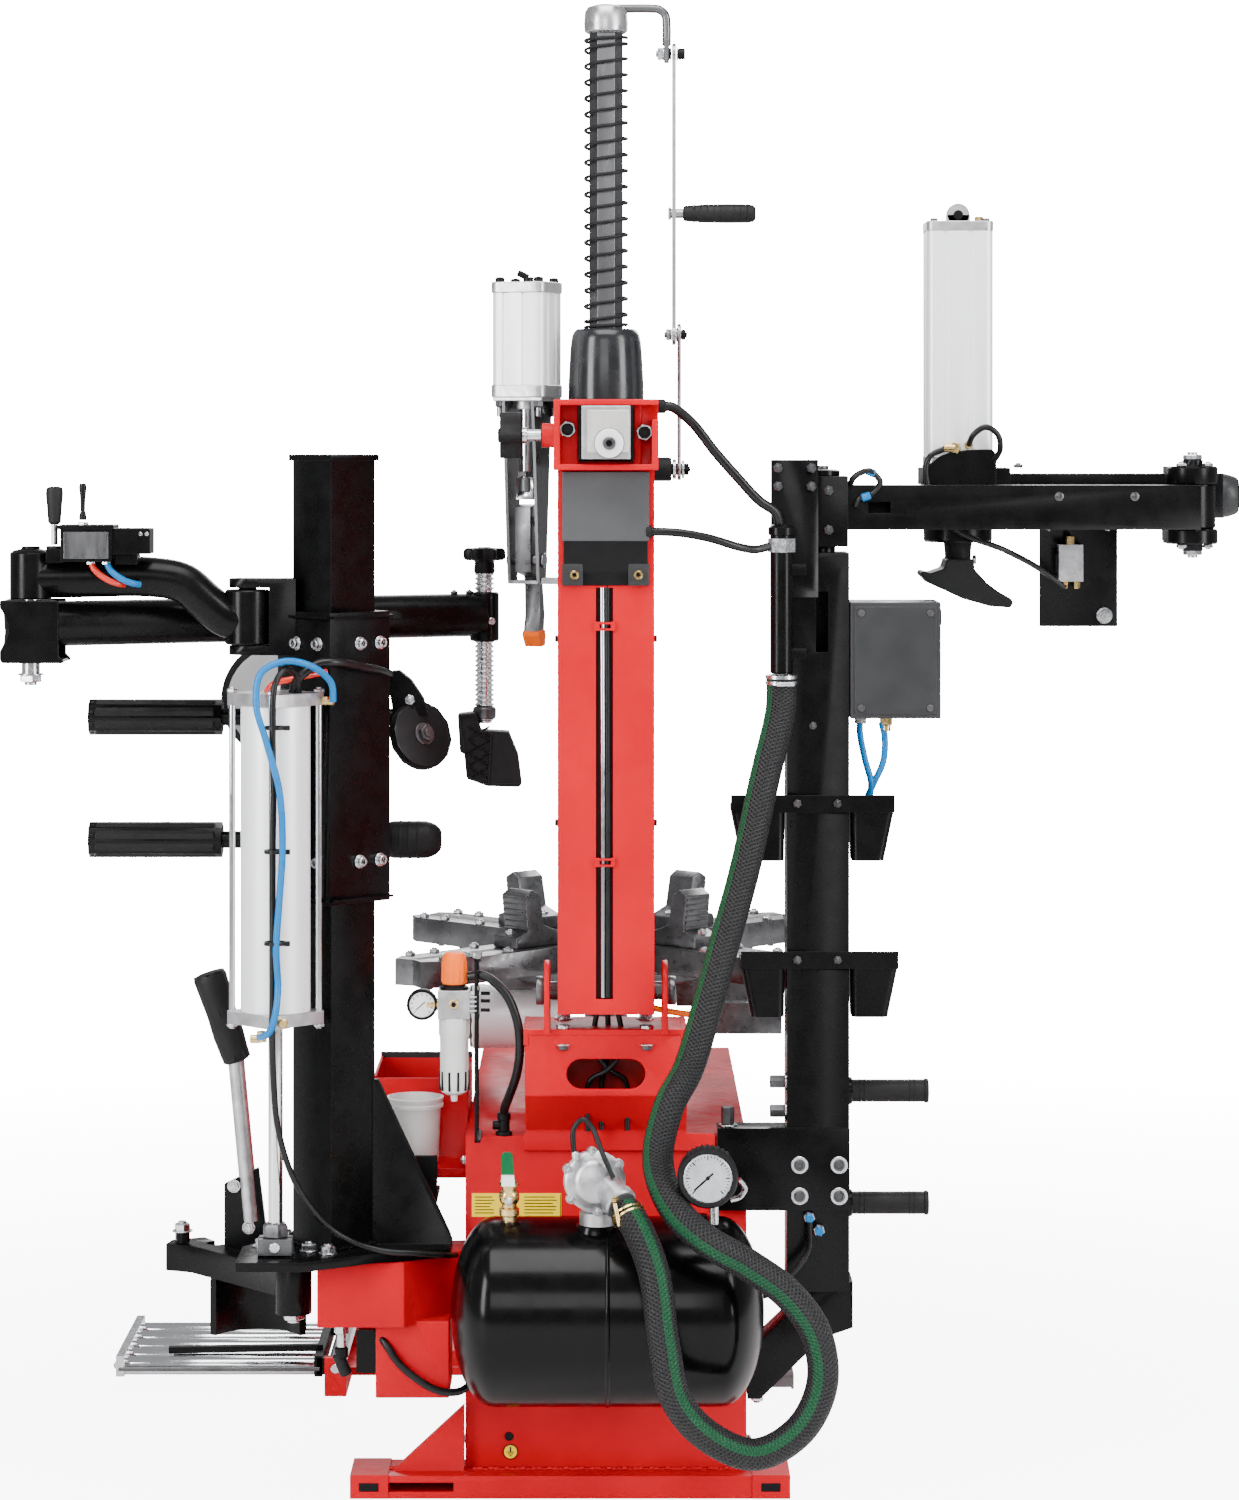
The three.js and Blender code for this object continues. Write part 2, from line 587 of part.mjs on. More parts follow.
function liftBarrel() {
  const { x, y, barrel, bore, bottom, top } = LIFT;
  const plate = 92;
  const reach = plate / Math.SQRT2 - 9;
  const pieces = [
    diamond(x, y, plate, bottom, bottom + 16),
    diamond(x, y, plate, top - 16, top),
    upright(x, y, bottom + 8, top - 8, barrel, ROUND),
  ];
  for (const [dx, dy] of [[reach, 0], [0, reach], [-reach, 0], [0, -reach]]) {
    pieces.push(upright(x + dx, y + dy, bottom - 3, top + 3, 4.5, 8));
  }
  const inside = upright(x, y, bottom + 12, top - 12, bore, ROUND);
  return cut(join(...pieces), inside, upright(x, y, bottom - 5, bottom + 26, 10.5));
}

const LIFT_HOSE = [
  [-352, -510, 1050], [-354, -516, 1074], [-380, -540, 1098], [-412, -556, 1104], [-440, -566, 1090],
  [-446, -570, 1050], [-432, -574, 1000], [-416, -576, 940], [-412, -576, 870], [-416, -576, 800],
  [-420, -576, 740], [-418, -574, 690], [-420, -582, 660], [-428, -576, 634], [-444, -548, 622],
];

function discArm(z, discSide) {
  const { x, y } = DISC_PIVOT;
  const gripSides = 8;
  const pieces = [
    upright(x, y, z - 22, z + 20, 20, ROUND),
    bar([-520, y, z], [x, y, z], 11, 11, SMALL),
    bar([-691, y, z], [-513, y, z], 24, 24, gripSides),
    bar([x, y, z], [discSide, y, z], 11),
  ];
  return pieces;
}

function beadDiscArm() {
  const { x, y } = BEAD_DISC;
  const pieces = discArm(DISC_ARM_Z, -262);
  pieces.push(bar([x, DISC_PIVOT.y, DISC_ARM_Z], [x, y - 12, DISC_ARM_Z + 20], 9));
  pieces.push(bar([x, y - 14, DISC_ARM_Z + 20], [x, y + 12, DISC_ARM_Z + 20], 9));
  pieces.push(bar([-262, DISC_PIVOT.y, DISC_ARM_Z - 22], [-262, DISC_PIVOT.y, DISC_ARM_Z + 14], 14));
  const tilt = Math.PI / 5;
  const disc = upright(0, 0, -7, 7, 46, ROUND).rotateX(Math.PI / 2).rotateZ(tilt).rotateX(-0.35);
  pieces.push(disc.translate(-248, DISC_PIVOT.y - 8, DISC_ARM_Z - 24));
  return cut(join(...pieces), upright(DISC_PIVOT.x, DISC_PIVOT.y, 960, 1070, 8.4));
}

function beadDisc() {
  const { x, y, radius } = BEAD_DISC;
  const profile = [[9.5, -6], [radius - 12, -6], [radius, -2], [radius, 4], [radius - 10, 8], [9.5, 8],
    [9.5, -6]];
  return turned(profile).rotateX(-Math.PI / 2).translate(x, y, DISC_ARM_Z + 20);
}

function rollerArm() {
  const pieces = discArm(ROLLER_ARM_Z, -220);
  return cut(join(...pieces), upright(DISC_PIVOT.x, DISC_PIVOT.y, 800, 900, 8.4));
}

function roller() {
  const profile = [[11.5, 0], [23, 0], [25, 8], [25, 50], [22, 62], [14, 70], [11.5, 70], [11.5, 0]];
  return turned(profile).rotateY(Math.PI / 2).translate(-291, DISC_PIVOT.y, ROLLER_ARM_Z);
}

function assistArmInner() {
  const { x, y } = ELBOW;
  const route = [[SHOULDER.x, SHOULDER.y, 1150], [-496, -429, 1154], [-524, -436, 1176], [-552, -441, 1200],
    [-590, -447, INNER_TUBE_Z], [-700, -466, INNER_TUBE_Z], [x, y, INNER_TUBE_Z]];
  return cut(
    join(
      upright(SHOULDER.x, SHOULDER.y, 1119, 1191, 29, ROUND),
      swept(route, 26, 12, 12),
      upright(x, y, 1181, 1244, 27, ROUND),
      upright(x, y, 1082, 1182, 12),
      box([-703, -586], [-515, -462], [1242, 1277]),
      box([-680, -610], [-480, -462], [1222, 1246]),
      box([-724, -704], [-500, -478], [1228, 1246]),
    ),
    upright(SHOULDER.x, SHOULDER.y, 1090, 1210, 12.5),
  );
}

function joystick() {
  const { x, y, z } = JOYSTICK;
  return join(upright(x, y, z - 3, 1284, 5, SMALL), bar([x, y, 1280], [x, y, 1327], 8, 11, SMALL));
}

function toggle() {
  const { x, y, z } = TOGGLE;
  return join(upright(x, y, z - 3, z + 8, 6, SMALL), bar([x, y, z], [x, y, 1331], 3, 5, SMALL));
}

function assistArmOuter() {
  const { x, y } = ELBOW;
  const top = OUTER_TUBE_Z + 31;
  return cut(
    join(
      upright(x, y, 1100, top, 36, ROUND),
      bar([x, y, OUTER_TUBE_Z], [PRESSER.x, PRESSER.y, OUTER_TUBE_Z], 29.5, 29.5, ROUND),
      upright(PRESSER.x, PRESSER.y, 1112, top, 20, ROUND),
    ),
    upright(x, y, 1090, 1190, 12.5),
    upright(PRESSER.x, PRESSER.y, 1090, 1200, 14.5),
  );
}

function presserScrew() {
  const { x, y } = PRESSER;
  const shoe = [[x - 43, 914], [x + 30, 922], [x + 43, 960], [x + 24, 1004], [x - 12, 1016], [x - 43, 1008]];
  return join(
    upright(x, y, 990, 1208, 12),
    upright(x, y, 1205, 1240, 29, ROUND),
    wall(shoe, [y - 24, y + 24]),
  );
}

// ---- bead breaker and wheel lift ----
function beadBreaker() {
  const { x, y } = BREAKER;
  const plan = [[x + 14, y + 16], [x - 14, y + 22], [-548, -200], [-590, -218], [-596, -246], [-560, -262],
    [x + 4, y - 20]];
  const blade = [];
  for (let i = 0; i <= 8; i++) {
    const angle = Math.PI * (0.15 + (0.7 * i) / 8);
    blade.push([-470 - 72 * Math.cos(angle), -300 + 86 * Math.sin(angle)]);
  }
  const inner = blade.map(([bx, by]) => [-470 + (bx + 470) * 0.88, -300 + (by + 300) * 0.88]).reverse();
  const pieces = [
    slab(plan, [262, 298]),
    upright(x, y, 242, 312, 24, ROUND),
    slab([...blade, ...inner], [178, 262.5]),
    wall([[-516, 290], [-456, 290], [-470, 402], [-516, 380]], [-256, -244]),
    bar([-480, -250, 330], [-502, -250, 562], 10.5, 10.5, SMALL),
    bar([-499, -250, 548], [-538, -250, 665], 19, 22, SMALL),
    bar([-575, -232, 298], [-575, -232, 312], 10, 10, SMALL),
  ];
  return cut(join(...pieces), upright(-528, -240, 250, 310, 14), upright(x, y, 230, 330, 10.5));
}

function wheelLift() {
  const { x, z, near, far } = WHEEL_LIFT;
  const rollerRadius = 13;
  const pieces = [
    bar([x, near - 8, z], [x, far + 8, z], 13),
    bar([x, near - 24, z], [x, far + 24, z], 7),
    box([-712, -700], [near - 6, far + 6], [z - 15, z + 15]),
    box([-420, x], [near - 6, near + 12], [z - 12, z + 12]),
    box([-420, x], [far - 12, far + 6], [z - 12, z + 12]),
    box([-424, -412], [near - 6, far + 6], [z - 15, z + 15]),
  ];
  for (let i = 0; i < 5; i++) {
    const y = near + 18 + (i * (far - near - 36)) / 4;
    pieces.push(bar([-704, y, z - 4], [-416, y, z - 4], rollerRadius, rollerRadius, SMALL));
  }
  return join(...pieces);
}

// ---- press column, moving side ----
function pressArmInner() {
  const { x, y } = PRESS_HUB;
  const { x: ex, y: ey } = PRESS_ELBOW;
  return cut(
    join(
      box([x - 31, x + 33], [y - 34, y + 36], [1246, 1339]),
      cut(box([x + 20, ex], [-370, -312], [1268, 1327]), box([x + 40, ex - 12], [-364, -318], [1274, 1321])),
      upright(ex, ey, 1268, 1327, 30, ROUND),
    ),
    upright(x, y, 1230, 1345, 18.6),
    upright(ex, ey, 1260, 1335, 14.5),
    box([x + 60, x + 90], [-375, -360], [1290, 1305]), // opening into the tube
  );
}

function pressArmOuter() {
  const { x: ex, y: ey } = PRESS_ELBOW;
  const { x, y } = PRESS;
  const tube = cut(
    box([432, 834], [y - 30, y + 30], [1281, 1341]),
    box([545, 822], [y - 24, y + 24], [1287, 1335]),
    box([600, 640], [y + 20, y + 31], [1300, 1320]),
  );
  const pieces = [
    tube,
    bar([832, y, 1311], [858, y, 1311], 30, 24, ROUND),
    box([427, 545], [y - 46, y + 46], [1326, 1349]),
    upright(x, y, 1248, 1282, 46, ROUND),
    box([592, 698], [y + 24, y + 31], [1132, 1285]),
  ];
  for (const [z0, z1] of [[1328, 1351], [1247, 1267]]) {
    pieces.push(upright(ex, ey, z0, z1, 33, ROUND));
    pieces.push(box([ex - 33, ex + 33], [ey, y - 10], [z0, z1]));
  }
  pieces.push(box([ex - 33, ex + 33], [y - 28, y], [1250, 1290]));
  pieces.push(upright(ex, ey, 1238, 1360, 14));
  // The barrel of the press cylinder stands on the plate.
  pieces.push(upright(x, y, 1348, 1682, 44, ROUND));
  pieces.push(bar([x, y - 5, 1692], [x, y + 5, 1692], 15));
  pieces.push(box([x - 15, x + 15], [y - 5, y + 5], [1680, 1692]));
  return cut(join(...pieces), upright(x, y, 1366, 1668, 38, ROUND), upright(x, y, 1240, 1370, 13));
}

function pressFoot() {
  const { x, y } = PRESS;
  const anvil = [[x - 54, 1206], [x - 20, 1216], [x + 22, 1216], [x + 40, 1188], [x + 71, 1170],
    [x + 71, 1160], [x - 30, 1172], [x - 50, 1186]];
  return join(
    upright(x, y, 1200, 1640, 12),
    upright(x, y, 1622, 1640, 37, ROUND),
    upright(x, y, 1200, 1240, 20),
    wall(anvil, [y - 38, y + 38]),
  );
}

// ---- pedals, knobs and handles ----
function frontPedal(x) {
  const { y, z } = PEDAL_PIVOT;
  return join(
    box([x - 9, x + 9], [y - 12, 462], [z - 5, z + 5]),
    box([x - 38, x + 38], [448, 520], [z - 4, z + 10]),
    bar([x - 22, y, z], [x + 22, y, z], 10),
  );
}

function sidePedal() {
  const { x, y, z } = SIDE_PEDAL;
  return join(
    box([x - 10, 212], [y - 9, y + 9], [z - 5, z + 5]),
    box([204, 262], [y - 44, y + 44], [z - 6, z + 8]),
    bar([x, y - 20, z], [x, y + 20, z], 10),
  );
}

const regulatorKnob = () => upright(FILTER.x, FILTER.y, 674.5, 715, 16, ROUND);

function valveHandle() {
  const { x, z } = VALVE;
  return join(box([x - 9, x + 7], [-572, -566], [z - 12, 479]), bar([x, -572, 426], [x, -559, 426], 8));
}

// ---- assembly ----
function addBase() {
  add("base_frame", baseFrame(), RED);
  add("cabinet", cabinet(), RED);
  add("drive_unit", driveUnit(), GREY);
  add("saddle_bracket", saddleBracket(), RED);
  add("tilt_pin", tiltPin(), STEEL);
  add("outrigger_beam", outriggerBeam(), RED);
  add("tool_tray", toolTray(), RED);
  add("lube_bucket", lubeBucket(), WHITE);
  add("filter_unit", filterUnit(), WHITE);
  add("filter_knob", regulatorKnob(), ORANGE);
  PEDAL_X.forEach((x, i) => add(`front_pedal_${i + 1}`, frontPedal(x), GREY));
  add("side_pedal", sidePedal(), GREY);
}

function addAir() {
  add("air_tank", airTank(), BLACK);
  add("blast_valve", blastValve(), ALUMINIUM);
  add("ball_valve_handle", valveHandle(), GREEN);
  add("inflator_hose", swept(INFLATOR_HOSE, 20, 28, 8), RUBBER);
}

function addTower() {
  add("tower_column", towerColumn(), RED);
  add("rear_cover", rearCover(), GREY);
  add("lock_knob", lockKnob(), RUBBER);
  for (const [name, route] of Object.entries(HEAD_CABLES)) {
    add(name, swept(route, HEAD_CABLE_RADIUS[name], 12, 8), RUBBER);
  }
  add("slide_arm", slideArm(), STEEL);
  add("shaft_spring", shaftSpring(), BLACK);
  add("hex_shaft", hexShaft(), STEEL);
  add("mount_head", mountHead(), STEEL);
  add("upper_link", upperLink(), STEEL);
  add("lower_link", lowerLink(), STEEL);
  const tool = new THREE.Group();
  tool.position.set(TOOL.x, TOOL.y, 0);
  tool.rotation.z = TOOL.yaw;
  machine.add(tool);
  add("tool_cylinder", toolCylinder(), ALUMINIUM, tool);
  add("tool_rod", toolRod(), STEEL, tool);
  add("tool_lever", toolLever(), STEEL, tool);
}

function addTable() {
  const table = new THREE.Group();
  table.position.set(0, TABLE.y, 0);
  machine.add(table);
  add("turntable", turntable(), STEEL, table);
  for (let i = 0; i < 4; i++) {
    const piece = add(`jaw_${i + 1}`, jaw(), STEEL, table);
    piece.rotation.z = ((2 * i + 1) * Math.PI) / 4;
  }
}

function addAssistPost() {
  add("assist_post", assistPost(), BLACK);
  add("lift_piston_rod", liftPistonRod(), STEEL);
  add("carriage", carriage(), BLACK);
  add("lift_barrel", liftBarrel(), ALUMINIUM);
  add("lift_hose", swept(LIFT_HOSE, 4.5, 30, 8), BLUE);
  add("assist_arm_inner", assistArmInner(), BLACK);
  add("joystick", joystick(), BLACK);
  add("toggle_switch", toggle(), STEEL);
  add("assist_arm_outer", assistArmOuter(), BLACK);
  add("presser_screw", presserScrew(), STEEL);
  add("disc_arm", beadDiscArm(), BLACK);
  add("bead_disc", beadDisc(), GREY);
  add("roller_arm", rollerArm(), BLACK);
  add("bead_roller", roller(), RUBBER);
  add("bead_breaker", beadBreaker(), BLACK);
  add("wheel_lift", wheelLift(), STEEL);
}

function addPressColumn() {
  add("press_column", pressColumn(), BLACK);
  add("control_cabinet", controlCabinet(), GREY);
  add("bin_rack_upper", binRack(904, [165, 236], [323, 380]), BLACK);
  add("bin_rack_lower", binRack(698, [178, 236], [323, 385]), BLACK);
  add("press_arm_inner", pressArmInner(), BLACK);
  add("press_arm_outer", pressArmOuter(), BLACK);
  add("press_foot", pressFoot(), BLACK);
}

addBase();
addAir();
addTower();
addTable();
addAssistPost();
addPressColumn();

export default machine;
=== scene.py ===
"""The looks of a tower tire changer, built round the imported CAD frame.

Sizes in the script are millimetres.
"""

import json
import math
from types import SimpleNamespace

import bmesh
import bpy
from mathutils import Matrix, Vector


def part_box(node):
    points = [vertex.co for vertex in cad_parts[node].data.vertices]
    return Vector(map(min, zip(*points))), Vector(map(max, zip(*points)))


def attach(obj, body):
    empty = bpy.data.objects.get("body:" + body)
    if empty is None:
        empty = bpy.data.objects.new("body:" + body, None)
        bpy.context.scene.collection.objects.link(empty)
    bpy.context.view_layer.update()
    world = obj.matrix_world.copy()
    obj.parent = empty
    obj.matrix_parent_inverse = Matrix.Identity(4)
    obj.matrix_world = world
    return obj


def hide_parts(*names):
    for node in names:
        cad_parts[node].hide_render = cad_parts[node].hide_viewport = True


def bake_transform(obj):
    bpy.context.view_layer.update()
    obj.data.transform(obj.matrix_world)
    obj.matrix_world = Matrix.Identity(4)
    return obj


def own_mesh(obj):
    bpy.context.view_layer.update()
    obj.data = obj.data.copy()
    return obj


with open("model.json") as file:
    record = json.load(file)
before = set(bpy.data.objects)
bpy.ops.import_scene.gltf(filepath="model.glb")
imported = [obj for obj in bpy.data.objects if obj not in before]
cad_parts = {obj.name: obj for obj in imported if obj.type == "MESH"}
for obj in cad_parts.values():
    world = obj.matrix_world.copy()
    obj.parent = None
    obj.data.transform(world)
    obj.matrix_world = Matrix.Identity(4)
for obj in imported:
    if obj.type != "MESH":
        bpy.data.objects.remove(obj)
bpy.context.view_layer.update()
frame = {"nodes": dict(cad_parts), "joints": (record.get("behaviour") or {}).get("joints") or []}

MM = 0.001
NODES = frame["nodes"]
X = Vector((1, 0, 0))
Y = Vector((0, 1, 0))
Z = Vector((0, 0, 1))
FINE = 48  # sides of a large round piece
ROUND = 32
THIN = 16
SHARP_ANGLE = math.radians(34)  # an edge past this is shown sharp
BEVEL_ANGLE = math.radians(40)  # an edge past this is rounded, and a round piece's own facets are not


def place(node):
    """A CAD node's box and the middle of its plan, in millimetres."""
    low, high = (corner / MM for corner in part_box(node))
    middle = (low + high) / 2
    return SimpleNamespace(x0=low.x, x1=high.x, y0=low.y, y1=high.y, z0=low.z, z1=high.z,
                           cx=middle.x, cy=middle.y)


JOINTS = {joint["name"]: joint for joint in frame["joints"]}
PIVOTS = {name: Vector(joint["pos_m"]) / MM for name, joint in JOINTS.items() if "pos_m" in joint}


# ---- shapes ----
def floor_heading(degrees):
    """A unit vector level with the floor, turned from +X towards +Y."""
    angle = math.radians(degrees)
    return Vector((math.cos(angle), math.sin(angle), 0))


def rear_heading(degrees):
    """A unit vector in the upright plane across the machine, turned from +X towards +Z."""
    angle = math.radians(degrees)
    return Vector((math.cos(angle), 0, math.sin(angle)))


def ring(centre, axis, radius, sides, across=None):
    """Points of a circle about an axis. across is the direction of the first point."""
    axis = Vector(axis).normalized()
    first = Vector(across) if across else axis.orthogonal()
    first = (first - axis * first.dot(axis)).normalized()
    second = axis.cross(first)
    centre = Vector(centre)
    angles = (2 * math.pi * i / sides for i in range(sides))
    return [centre + first * (radius * math.cos(a)) + second * (radius * math.sin(a)) for a in angles]


def smooth_route(points, step):
    """Points about step apart on a smooth curve through the given ones (centripetal Catmull-Rom)."""
    points = [Vector(p) for p in points]
    ends = [points[0] * 2 - points[1], *points, points[-1] * 2 - points[-2]]
    route = []
    for a, b, c, d in zip(ends, ends[1:], ends[2:], ends[3:]):
        t1 = (b - a).length ** 0.5
        t2 = t1 + (c - b).length ** 0.5
        t3 = t2 + (d - c).length ** 0.5
        count = max(2, round((c - b).length / step))
        for i in range(count):
            t = t1 + (t2 - t1) * i / count
            ab = a.lerp(b, t / t1)
            bc = b.lerp(c, (t - t1) / (t2 - t1))
            cd = c.lerp(d, (t - t2) / (t3 - t2))
            abc = ab.lerp(bc, t / t2)
            bcd = bc.lerp(cd, (t - t1) / (t3 - t1))
            route.append(abc.lerp(bcd, (t - t1) / (t2 - t1)))
    return [*route, points[-1]]


class Shape:
    """Closed bodies, in millimetres, that become one piece. Each body has its own material."""

    def __init__(self):
        self.mesh = bmesh.new()
        self.materials = []

    def keep(self, faces, material):
        if material not in self.materials:
            self.materials.append(material)
        for face in faces:
            face.material_index = self.materials.index(material)
            face.smooth = True
        bmesh.ops.recalc_face_normals(self.mesh, faces=faces)
        return self

    def loft(self, rings, material, closed=False):
        """Skin over rings of equally many points, with flat ends, or closed into a loop."""
        rows = [[self.mesh.verts.new(p) for p in points] for points in rings]
        pairs = list(zip(rows, rows[1:]))
        if closed:
            pairs.append((rows[-1], rows[0]))
        count = len(rows[0])
        faces = []
        for low, high in pairs:
            for i in range(count):
                j = (i + 1) % count
                faces.append(self.mesh.faces.new((low[i], low[j], high[j], high[i])))
        if not closed:
            faces += [self.mesh.faces.new(rows[0]), self.mesh.faces.new(rows[-1])]
        return self.keep(faces, material)

    def box(self, x, y, z, material):
        """A box between the pairs x, y and z."""
        corners = ((x[0], y[0]), (x[1], y[0]), (x[1], y[1]), (x[0], y[1]))
        return self.loft([[Vector((a, b, height)) for a, b in corners] for height in z], material)

    def beam(self, start, end, width, height, material, up=Z):
        """A rectangular bar between two points."""
        start, end = Vector(start), Vector(end)
        along = (end - start).normalized()
        side = along.cross(up).normalized() * (width / 2)
        rise = side.cross(along).normalized() * (height / 2)
        corners = (side + rise, side - rise, -side - rise, rise - side)
        return self.loft([[p + c for c in corners] for p in (start, end)], material)

    def rod(self, start, end, radius, material, end_radius=None, sides=ROUND, edge=0, across=None):
        """A round bar, or a cone, with its rims rounded off by edge."""
        start, end = Vector(start), Vector(end)
        last = radius if end_radius is None else end_radius
        along = (end - start).normalized()
        stations = [(start, radius), (end, last)]
        if edge:
            stations = [(start, radius - edge), (start + along * edge, radius), (end - along * edge, last),
                        (end, last - edge)]
        return self.loft([ring(p, along, r, sides, across) for p, r in stations], material)

    def turned(self, profile, material, origin=(0, 0, 0), axis=Z, sides=FINE, closed=False):
        """A profile of (radius, height) pairs turned about an axis."""
        origin, axis = Vector(origin), Vector(axis).normalized()
        rings = [ring(origin + axis * h, axis, max(r, 0.05), sides) for r, h in profile]
        return self.loft(rings, material, closed)

    def prism(self, outline, thickness, material, normal="z"):
        """A flat outline of the two other coordinates, in order, as thick as the pair says."""
        def point(a, b, c):
            return {"z": Vector((a, b, c)), "y": Vector((a, c, b)), "x": Vector((c, a, b))}[normal]
        return self.loft([[point(a, b, t) for a, b in outline] for t in thickness], material)

    def tube(self, points, radius, material, sides=THIN, step=4):
        """A round section along a smooth curve."""
        route = smooth_route(points, step)
        return self.loft(swept_rings(route, radius, sides), material)

    def bolt(self, at, axis, head, material, height=None, washer=0):
        """A hexagon head with a round end on it and a washer under it. head is its width across corners."""
        at, axis = Vector(at), Vector(axis).normalized()
        height = height or head * 0.38
        if washer:
            self.rod(at, at + axis * 2, washer / 2, material, sides=24, edge=0.5)
            at = at + axis * 2
        top = at + axis * height
        self.rod(at, top, head / 2, material, sides=6, edge=min(1.2, height / 3))
        return self.rod(top, at + axis * (height + head * 0.14), head * 0.27, material, sides=12, edge=0.8)

    def socket_screw(self, at, axis, head, material, dark):
        """A cap screw: a round head with a recess whose floor is a near-black hexagon, painted shade of a
        hexagonal socket.
        """
        at, axis = Vector(at), Vector(axis).normalized()
        depth = head * 0.5
        profile = [(head / 2, 0), (head / 2, depth - 1), (head / 2 - 1, depth), (head * 0.3, depth)]
        inside = [(head * 0.26, depth - 1), (head * 0.26, depth * 0.3)]
        self.turned([*profile, *inside], material, at, axis, 24)
        # painted shade: the recess floor is a near-black hexagon, not the screw's own metal
        return self.rod(at + axis * depth * 0.3, at + axis * (depth * 0.34), head * 0.25, dark, sides=6)

    def piece(self, name, body, slot=None, replaces=(), bevel=0.0, segments=2):
        """Makes the bodies one object, in metres, that rides on a CAD body."""
        data = bpy.data.meshes.new(name)
        bmesh.ops.scale(self.mesh, vec=(MM, MM, MM), verts=self.mesh.verts)
        self.mesh.to_mesh(data)
        self.mesh.free()
        data.set_sharp_from_angle(angle=SHARP_ANGLE)
        for material in self.materials:
            data.materials.append(material)
        made = bpy.data.objects.new(name, data)
        bpy.context.scene.collection.objects.link(made)
        if bevel:
            add_bevel(made, bevel, segments)
        if body:
            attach(made, body)
        if replaces:
            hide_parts(*replaces)
        return made


def swept_rings(route, radius, sides):
    """Circles along a route, turned with it so that they don't twist."""
    count = len(route)
    tangents = [(route[min(i + 1, count - 1)] - route[max(i - 1, 0)]).normalized() for i in range(count)]
    across = tangents[0].orthogonal()
    rings = []
    for point, tangent in zip(route, tangents):
        across = (across - tangent * across.dot(tangent)).normalized()
        rings.append(ring(point, tangent, radius, sides, across))
    return rings


def add_bevel(made, width, segments=2):
    """Rounds every edge sharper than a rounded surface's own facets."""
    bevel = made.modifiers.new("edges", "BEVEL")
    bevel.width = width * MM
    bevel.segments = segments
    bevel.limit_method = "ANGLE"
    bevel.angle_limit = BEVEL_ANGLE
    bevel.harden_normals = True


def dress(node, material, bevel):
    """Gives a CAD node its material and rounds its edges, without touching its own vertices."""
    made = NODES[node]
    made.data.materials.clear()
    made.data.materials.append(material)
    made.data.polygons.foreach_set("use_smooth", [True] * len(made.data.polygons))
    weld = made.modifiers.new("weld", "WELD")
    weld.merge_threshold = 0.00002
    flat = made.modifiers.new("flat", "DECIMATE")
    flat.decimate_type = "DISSOLVE"
    flat.angle_limit = math.radians(0.4)
    add_bevel(made, bevel)


# ---- materials ----
def grain(nodes, links, scale, detail, stretch=(1, 1, 1)):
    """A noise texture in the object's own coordinates. scale is in cells for each metre."""
    place_in = nodes.new("ShaderNodeTexCoord")
    mapping = nodes.new("ShaderNodeMapping")
    mapping.inputs["Scale"].default_value = stretch
    noise = nodes.new("ShaderNodeTexNoise")
    noise.inputs["Scale"].default_value = scale
    noise.inputs["Detail"].default_value = detail
    links.new(place_in.outputs["Object"], mapping.inputs["Vector"])
    links.new(mapping.outputs["Vector"], noise.inputs["Vector"])
    return noise.outputs["Fac"]


def ramp(nodes, links, source, low, high, start=0.35, end=0.65):
    """Maps a texture's middle range onto two colours or two grey levels."""
    made = nodes.new("ShaderNodeValToRGB")
    made.color_ramp.elements[0].position = start
    made.color_ramp.elements[1].position = end
    for element, value in zip(made.color_ramp.elements, (low, high)):
        element.color = (*value, 1) if hasattr(value, "__len__") else (value, value, value, 1)
    links.new(source, made.inputs["Fac"])
    return made.outputs["Color"]


def surface(name, color, roughness, metallic=0.0, coat=0.0, variation=0.1, patch=9, speck=900,
            bump=0.02, stretch=(1, 1, 1), roughness_swing=0.08, specular=0.5, transmission=0.0):
    """A Principled material with mottled colour, uneven gloss and a fine bump."""
    made = bpy.data.materials.new(name)
    made.use_nodes = True
    nodes, links = made.node_tree.nodes, made.node_tree.links
    shader = nodes["Principled BSDF"]
    shader.inputs["Metallic"].default_value = metallic
    shader.inputs["Coat Weight"].default_value = coat
    shader.inputs["Coat Roughness"].default_value = 0.12
    shader.inputs["Specular IOR Level"].default_value = specular
    shader.inputs["Transmission Weight"].default_value = transmission
    darker = [c * (1 - variation) for c in color]
    lighter = [min(1, c * (1 + variation)) for c in color]
    cloud = grain(nodes, links, patch, 5, stretch)
    links.new(ramp(nodes, links, cloud, darker, lighter), shader.inputs["Base Color"])
    gloss = grain(nodes, links, patch * 4, 6, stretch)
    low, high = max(0.03, roughness - roughness_swing), roughness + roughness_swing
    links.new(ramp(nodes, links, gloss, low, high), shader.inputs["Roughness"])
    fine = grain(nodes, links, speck, 2, stretch)
    relief = nodes.new("ShaderNodeBump")
    relief.inputs["Strength"].default_value = 1.0
    relief.inputs["Distance"].default_value = bump * MM
    links.new(fine, relief.inputs["Height"])
    links.new(relief.outputs["Normal"], shader.inputs["Normal"])
    return made


def flecked(made, color, share, scale):
    """Adds small flecks of another colour over a surface's own colour."""
    nodes, links = made.node_tree.nodes, made.node_tree.links
    socket = nodes["Principled BSDF"].inputs["Base Color"]
    under = socket.links[0].from_socket
    mix = nodes.new("ShaderNodeMix")
    mix.data_type = "RGBA"
    spots = ramp(nodes, links, grain(nodes, links, scale, 3), 0, 1, 1 - share, 1 - share + 0.05)
    links.new(spots, mix.inputs["Factor"])
    links.new(under, mix.inputs[6])
    mix.inputs[7].default_value = (*color, 1)
    links.new(mix.outputs[2], socket)
    return made


